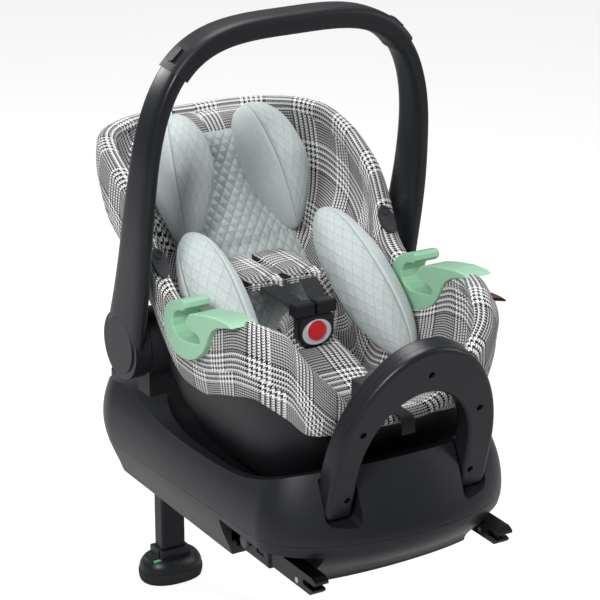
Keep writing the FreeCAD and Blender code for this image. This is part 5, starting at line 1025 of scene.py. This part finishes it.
def paddle(name, sign, place, halves, tilt, yaw, panel, body, replaced, flat=-99.0, taper=0.0):
    """A stuffed paddle: halves are across, along and off the line, the quilted panel is
    between two angles round it, where 0 is its front and more is outwards."""
    thick, long_half, deep = halves
    shape = bmesh.new()
    bmesh.ops.create_uvsphere(shape, u_segments=RINGS, v_segments=80, radius=1.0)
    layer = shape.loops.layers.uv.new("cloth")
    sewn = shape.verts.layers.float.new("seam")
    step = 2 * math.pi / RINGS
    panel = [round(seam / step) * step for seam in panel]
    spots = {}
    shape.verts.index_update()
    for vert in shape.verts:
        x, y, t = vert.co
        angle = math.atan2(x * sign, y)
        spots[vert.index] = (angle, t)
        ring = max(0.0, 1 - abs(t) ** 2.25) ** 0.52
        if t < 0:
            ring *= 1 - taper * (-t) ** 1.5 * 0.45
        side, front = math.sin(angle), math.cos(angle)
        width = math.copysign(abs(side) ** 0.86, side) * thick * ring
        depth = math.copysign(abs(front) ** 0.80, front) * deep * ring
        groove, piping = 0.0, 0.0
        for seam in panel:
            gap = min(abs(angle - seam), 2 * math.pi - abs(angle - seam))
            groove += math.exp(-(gap / 0.045) ** 2) * PADDLE_GROOVE * ring
            if gap < step / 2 and ring > 0.12:
                vert[sewn] = 1.0
            piping += math.exp(-((gap - 0.11) / 0.05) ** 2) * PADDLE_PIPING * ring
        size = math.hypot(width, depth) or 1.0
        swell = 1 - (groove - piping) / size
        soft = noise.noise(Vector((width * 0.03, t * 2.2 + sign, depth * 0.03))) * 1.5 * ring
        width = width * swell + soft * side
        depth = max(depth * swell + soft * front, flat + 0.8 * ring * (1 + front))
        turned = Matrix.Rotation(sign * yaw, 3, "Z") @ Vector((sign * width, t * long_half, depth))
        turned = Matrix.Rotation(tilt, 3, "X") @ turned
        vert.co = at(sign * place[0] + turned.x, place[1] + turned.y, place[2] + turned.z)
    ring_length = (thick + deep) * 1.6 / 1000.0
    for face in shape.faces:
        angles = [spots[loop.vert.index][0] for loop in face.loops]
        wraps = max(angles) - min(angles) > 3
        middle = sum(angles) / len(angles)
        face.material_index = 1 if panel[0] < middle < panel[1] and not wraps else 0
        for loop, angle in zip(face.loops, angles):
            if wraps and angle < 0:
                angle += 2 * math.pi
            t = spots[loop.vert.index][1]
            loop[layer].uv = (angle / math.pi * ring_length, math.asin(max(-1, min(1, t)))
                              / (math.pi / 2) * long_half / 1000.0 * 1.1)
    soft_object(name, shape, [mint_plain, mint_soft_quilt], body, replaced)


# %% Wings and bolsters
WING_MIDDLE = back_place(72.0, 285, 20)
BOLSTER_PANELS = {"left": (-2.5, 0.12), "right": (-0.35, 1.45)}
for side, sign in SIDES:
    paddle("wing_" + side, sign, WING_MIDDLE, (37.5, 94.0, 79.0), BACK_ANGLE,
           math.radians(8.0), (-0.55, 0.85), "headrest", ("head_wing_" + side,), -10.0, 1.0)
    paddle("bolster_" + side + "_stuffed", sign, (112.0, 304.0, 252.0), (39.5, 126.0, 39.5),
           math.radians(37.0), math.radians(4.0), BOLSTER_PANELS[side], "carrier",
           ("bolster_" + side,))

# %% [markdown]
# ## Harness
# Webbing is flat, so a strap is a narrow grid carried along a few places, a little thicker in
# the middle than at its selvedges. The shoulder pads are folded check cloth with a ruched end
# where the elastic gathers it. The buckle is a moulded body with a ringed silver face.


# %% A helper for straps
STRAP_COLUMNS, STRAP_STEPS = 8, 14


def smooth_line(points):
    """A line of many places that runs smoothly through a few."""
    line = []
    for index in range(len(points) - 1):
        before, after = points[max(index - 1, 0)], points[min(index + 2, len(points) - 1)]
        a, b = points[index], points[index + 1]
        for step in range(STRAP_STEPS):
            t = step / STRAP_STEPS
            line.append(0.5 * ((2 * a) + (b - before) * t + (2 * before - 5 * a + 4 * b - after)
                               * t * t + (3 * a - before - 3 * b + after) * t ** 3))
    return line + [points[-1]]


def strap_piece(name, places, width, thick, body, replaced):
    """A flat strap that follows places in millimetres, given as (x, y, z)."""
    line = smooth_line([Vector(place) for place in places])
    shape, ordered = grid_shape(STRAP_COLUMNS, len(line) - 1)
    run = run_along(line)
    where = {}
    for number, vert in enumerate(ordered):
        row, column = divmod(number, STRAP_COLUMNS + 1)
        share = column / STRAP_COLUMNS * 2 - 1
        along = (line[min(row + 1, len(line) - 1)] - line[max(row - 1, 0)]).normalized()
        sideways = Vector((1, 0, 0))
        sideways = (sideways - along * sideways.dot(along)).normalized()
        vert.co = at(*(line[row] + sideways * share * width / 2))
        where[vert.index] = (share * width / 2000.0, run[row] / 1000.0)
    lay_map(shape, lambda vert: where[vert.index])
    piece = soft_object(name, shape, [webbing], body, replaced, levels=0)
    add_wall(piece, thick)
    soften = piece.modifiers.new("selvedge", "BEVEL")
    soften.width = thick / 3000.0
    soften.segments = 2


# %% Straps
for side, sign in SIDES:
    strap_piece("shoulder_webbing_" + side,
                [(sign * 30, 447, 268), (sign * 30, 420, 268), (sign * 30, 360, 268),
                 (sign * 30, 318, 267.5), (sign * 24.5, 294, 262), (sign * 18.5, 272, 255.5),
                 (sign * 16.5, 262, 251.5)], 25, 1.6, "carrier", ("shoulder_strap_" + side,))
strap_piece("crotch_webbing", [(0, 250, 138), (0, 250, 170), (0, 250, 203)], 25, 1.6, "carrier",
            ("crotch_strap",))
strap_piece("adjuster_webbing", [(0, 108, 179), (0, 60, 179.6), (0, 34, 179.8), (0, 25.5, 177),
                                 (0, 22.5, 168), (0, 22, 157)], 20, 1.8, "carrier",
            ("adjuster_strap",))


# %% Shoulder pads
def shoulder_form(sign):
    """A folded pad round the strap, gathered at its lower end."""
    def form(a, b, c):
        x, s = squircle(a, b, 0.20)
        y = 373 + s * 56
        ruche = ease((-0.25 - s) / 0.75)
        wave = math.sin(a * 17 + 2.0 * math.sin(s * 9))
        ripple = 2.0 * ruche * wave if abs(c) > 0.9 else 0.0
        half = 26.0 - 1.5 * ease((abs(s) - 0.85) / 0.15) + 0.9 * math.sin(s * 16) * ruche
        rim = max(abs(a), abs(s)) ** 5
        thick = 9.6 * (1 - 0.45 * rim) + ripple - 1.6 * ruche
        if abs(a) > 0.9 and s < -0.9:
            half += 1.5
        return at(sign * 30 + x * half, y - 1.2 * ruche * wave, 268 + c * thick)
    return form


for side, sign in SIDES:
    pad("shoulder_cover_" + side, 36, shoulder_form(sign),
        lambda a, b, c: (b * 0.056 + c * 0.01, a * 0.026), glen_check, "carrier",
        "shoulder_pad_" + side)


# %% Crotch pad
# each row: share of the pad's length, then distance and height of its top and of its foot
HUMP = [(-1.0, 150, 155, 151, 152), (-0.9, 154, 162, 156, 152), (-0.72, 176, 173, 174, 152.5),
        (-0.5, 200, 182, 186, 168), (-0.25, 232, 194, 215, 162.5), (-0.05, 252, 198.5, 235, 158.5),
        (0.05, 260, 203, 245, 156.5), (0.22, 264, 222, 255, 154.5), (0.36, 267, 236, 260, 153.5),
        (0.46, 271, 243, 263, 153), (0.54, 277, 245.5, 266, 152.5), (0.62, 282, 242, 270, 151.5),
        (0.74, 285, 232, 273, 151), (0.86, 285, 214, 276, 150.3), (1.0, 283, 185, 281, 149)]


def crotch_form(a, b, c):
    """The check pad that lies under the buckle and stands up behind it."""
    top_y, top_z, low_y, low_z = spread(b, HUMP)
    corner = ease((-0.45 - b) / 0.55)
    stand = ease(b / 0.3)
    x = a * (1 - 0.16 * corner * corner)
    rim = abs(a) ** 5
    share = (c + 1) / 2 * (1 - (0.16 + 0.12 * stand) * rim)
    quilt = 1.2 * (1 - rim) * (1 - abs(math.sin(a * 4.7)) ** 0.5) if c > 0.999 else 0.0
    y = low_y + (top_y - low_y) * share
    z = low_z + (top_z - low_z) * share - quilt * 0.5
    return at(x * (43.5 - 3.0 * stand * max(0.0, c)), y, z)


pad("crotch_cover", 44, crotch_form, lambda a, b, c: (a * 0.044, b * 0.105 + c * 0.01),
    glen_check, "carrier", "crotch_pad")

# %% [markdown]
# ## Small trim
# Small fittings finish the part: the moulded ring round the harness button, the snap studs on
# the sun hood's mounts and a folded leather tab in a seam. Rings are a little circle that is
# spun round an axis; the tab is a grid that is folded and given a wall.


# %% A helper for rings
def trim_ring(name, middle, normal, radius, wire, finish, body):
    """A moulded ring: a small circle spun round an axis."""
    shape = bmesh.new()
    made = bmesh.ops.create_circle(shape, segments=12, radius=wire / 1000.0)
    bmesh.ops.rotate(shape, verts=made["verts"], cent=(0, 0, 0),
                     matrix=Matrix.Rotation(math.pi / 2, 3, "X"))
    bmesh.ops.translate(shape, verts=made["verts"], vec=(radius / 1000.0, 0, 0))
    bmesh.ops.spin(shape, geom=shape.verts[:] + shape.edges[:], cent=(0, 0, 0), axis=(0, 0, 1),
                   angle=2 * math.pi, steps=48, use_merge=True)
    bmesh.ops.remove_doubles(shape, verts=shape.verts, dist=0.00001)
    turn = Vector((0, 0, 1)).rotation_difference(Vector(normal)).to_matrix()
    bmesh.ops.rotate(shape, verts=shape.verts, cent=(0, 0, 0), matrix=turn)
    bmesh.ops.translate(shape, verts=shape.verts, vec=at(*middle))
    shape.loops.layers.uv.new("cloth")
    soft_object(name, shape, [finish], body, levels=0)


# %% Rings and studs
trim_ring("buckle_ring", (0, 243.4, 223), (0, -1, 0), 14.4, 1.1, buckle_silver, "carrier")
MOUNT_SLOPE = math.radians(47.0)
for side, sign in SIDES:
    stud = (sign * 176, 349 + 11 * math.cos(MOUNT_SLOPE) - 4.1 * math.sin(MOUNT_SLOPE),
            316 + 11 * math.sin(MOUNT_SLOPE) + 4.1 * math.cos(MOUNT_SLOPE))
    trim_ring("hood_stud_" + side, stud, (0, -math.sin(MOUNT_SLOPE), math.cos(MOUNT_SLOPE)),
              5.2, 0.7, cap_black, "carrier")

# %% Folded tab
TAB_PLACE = (162.0, 88.0, 289.0)
shape, _ = grid_shape(16, 10)
lay_map(shape, lambda vert: (vert.co.x * 0.02, vert.co.y * 0.012))
for vert in shape.verts:
    fold, share = vert.co.x * math.pi / 2, vert.co.y
    reach = math.cos(fold) ** 0.6 * 19.0
    x = TAB_PLACE[0] + reach * (1 - 0.05 * share * share)
    y = TAB_PLACE[1] + share * 12.0 - 0.25 * reach
    vert.co = at(x, y, TAB_PLACE[2] + math.sin(fold) * 2.0 - 0.010 * reach * reach)
tab = soft_object("seam_tab", shape, [tab_leather], "carrier")
add_wall(tab, 1.2)
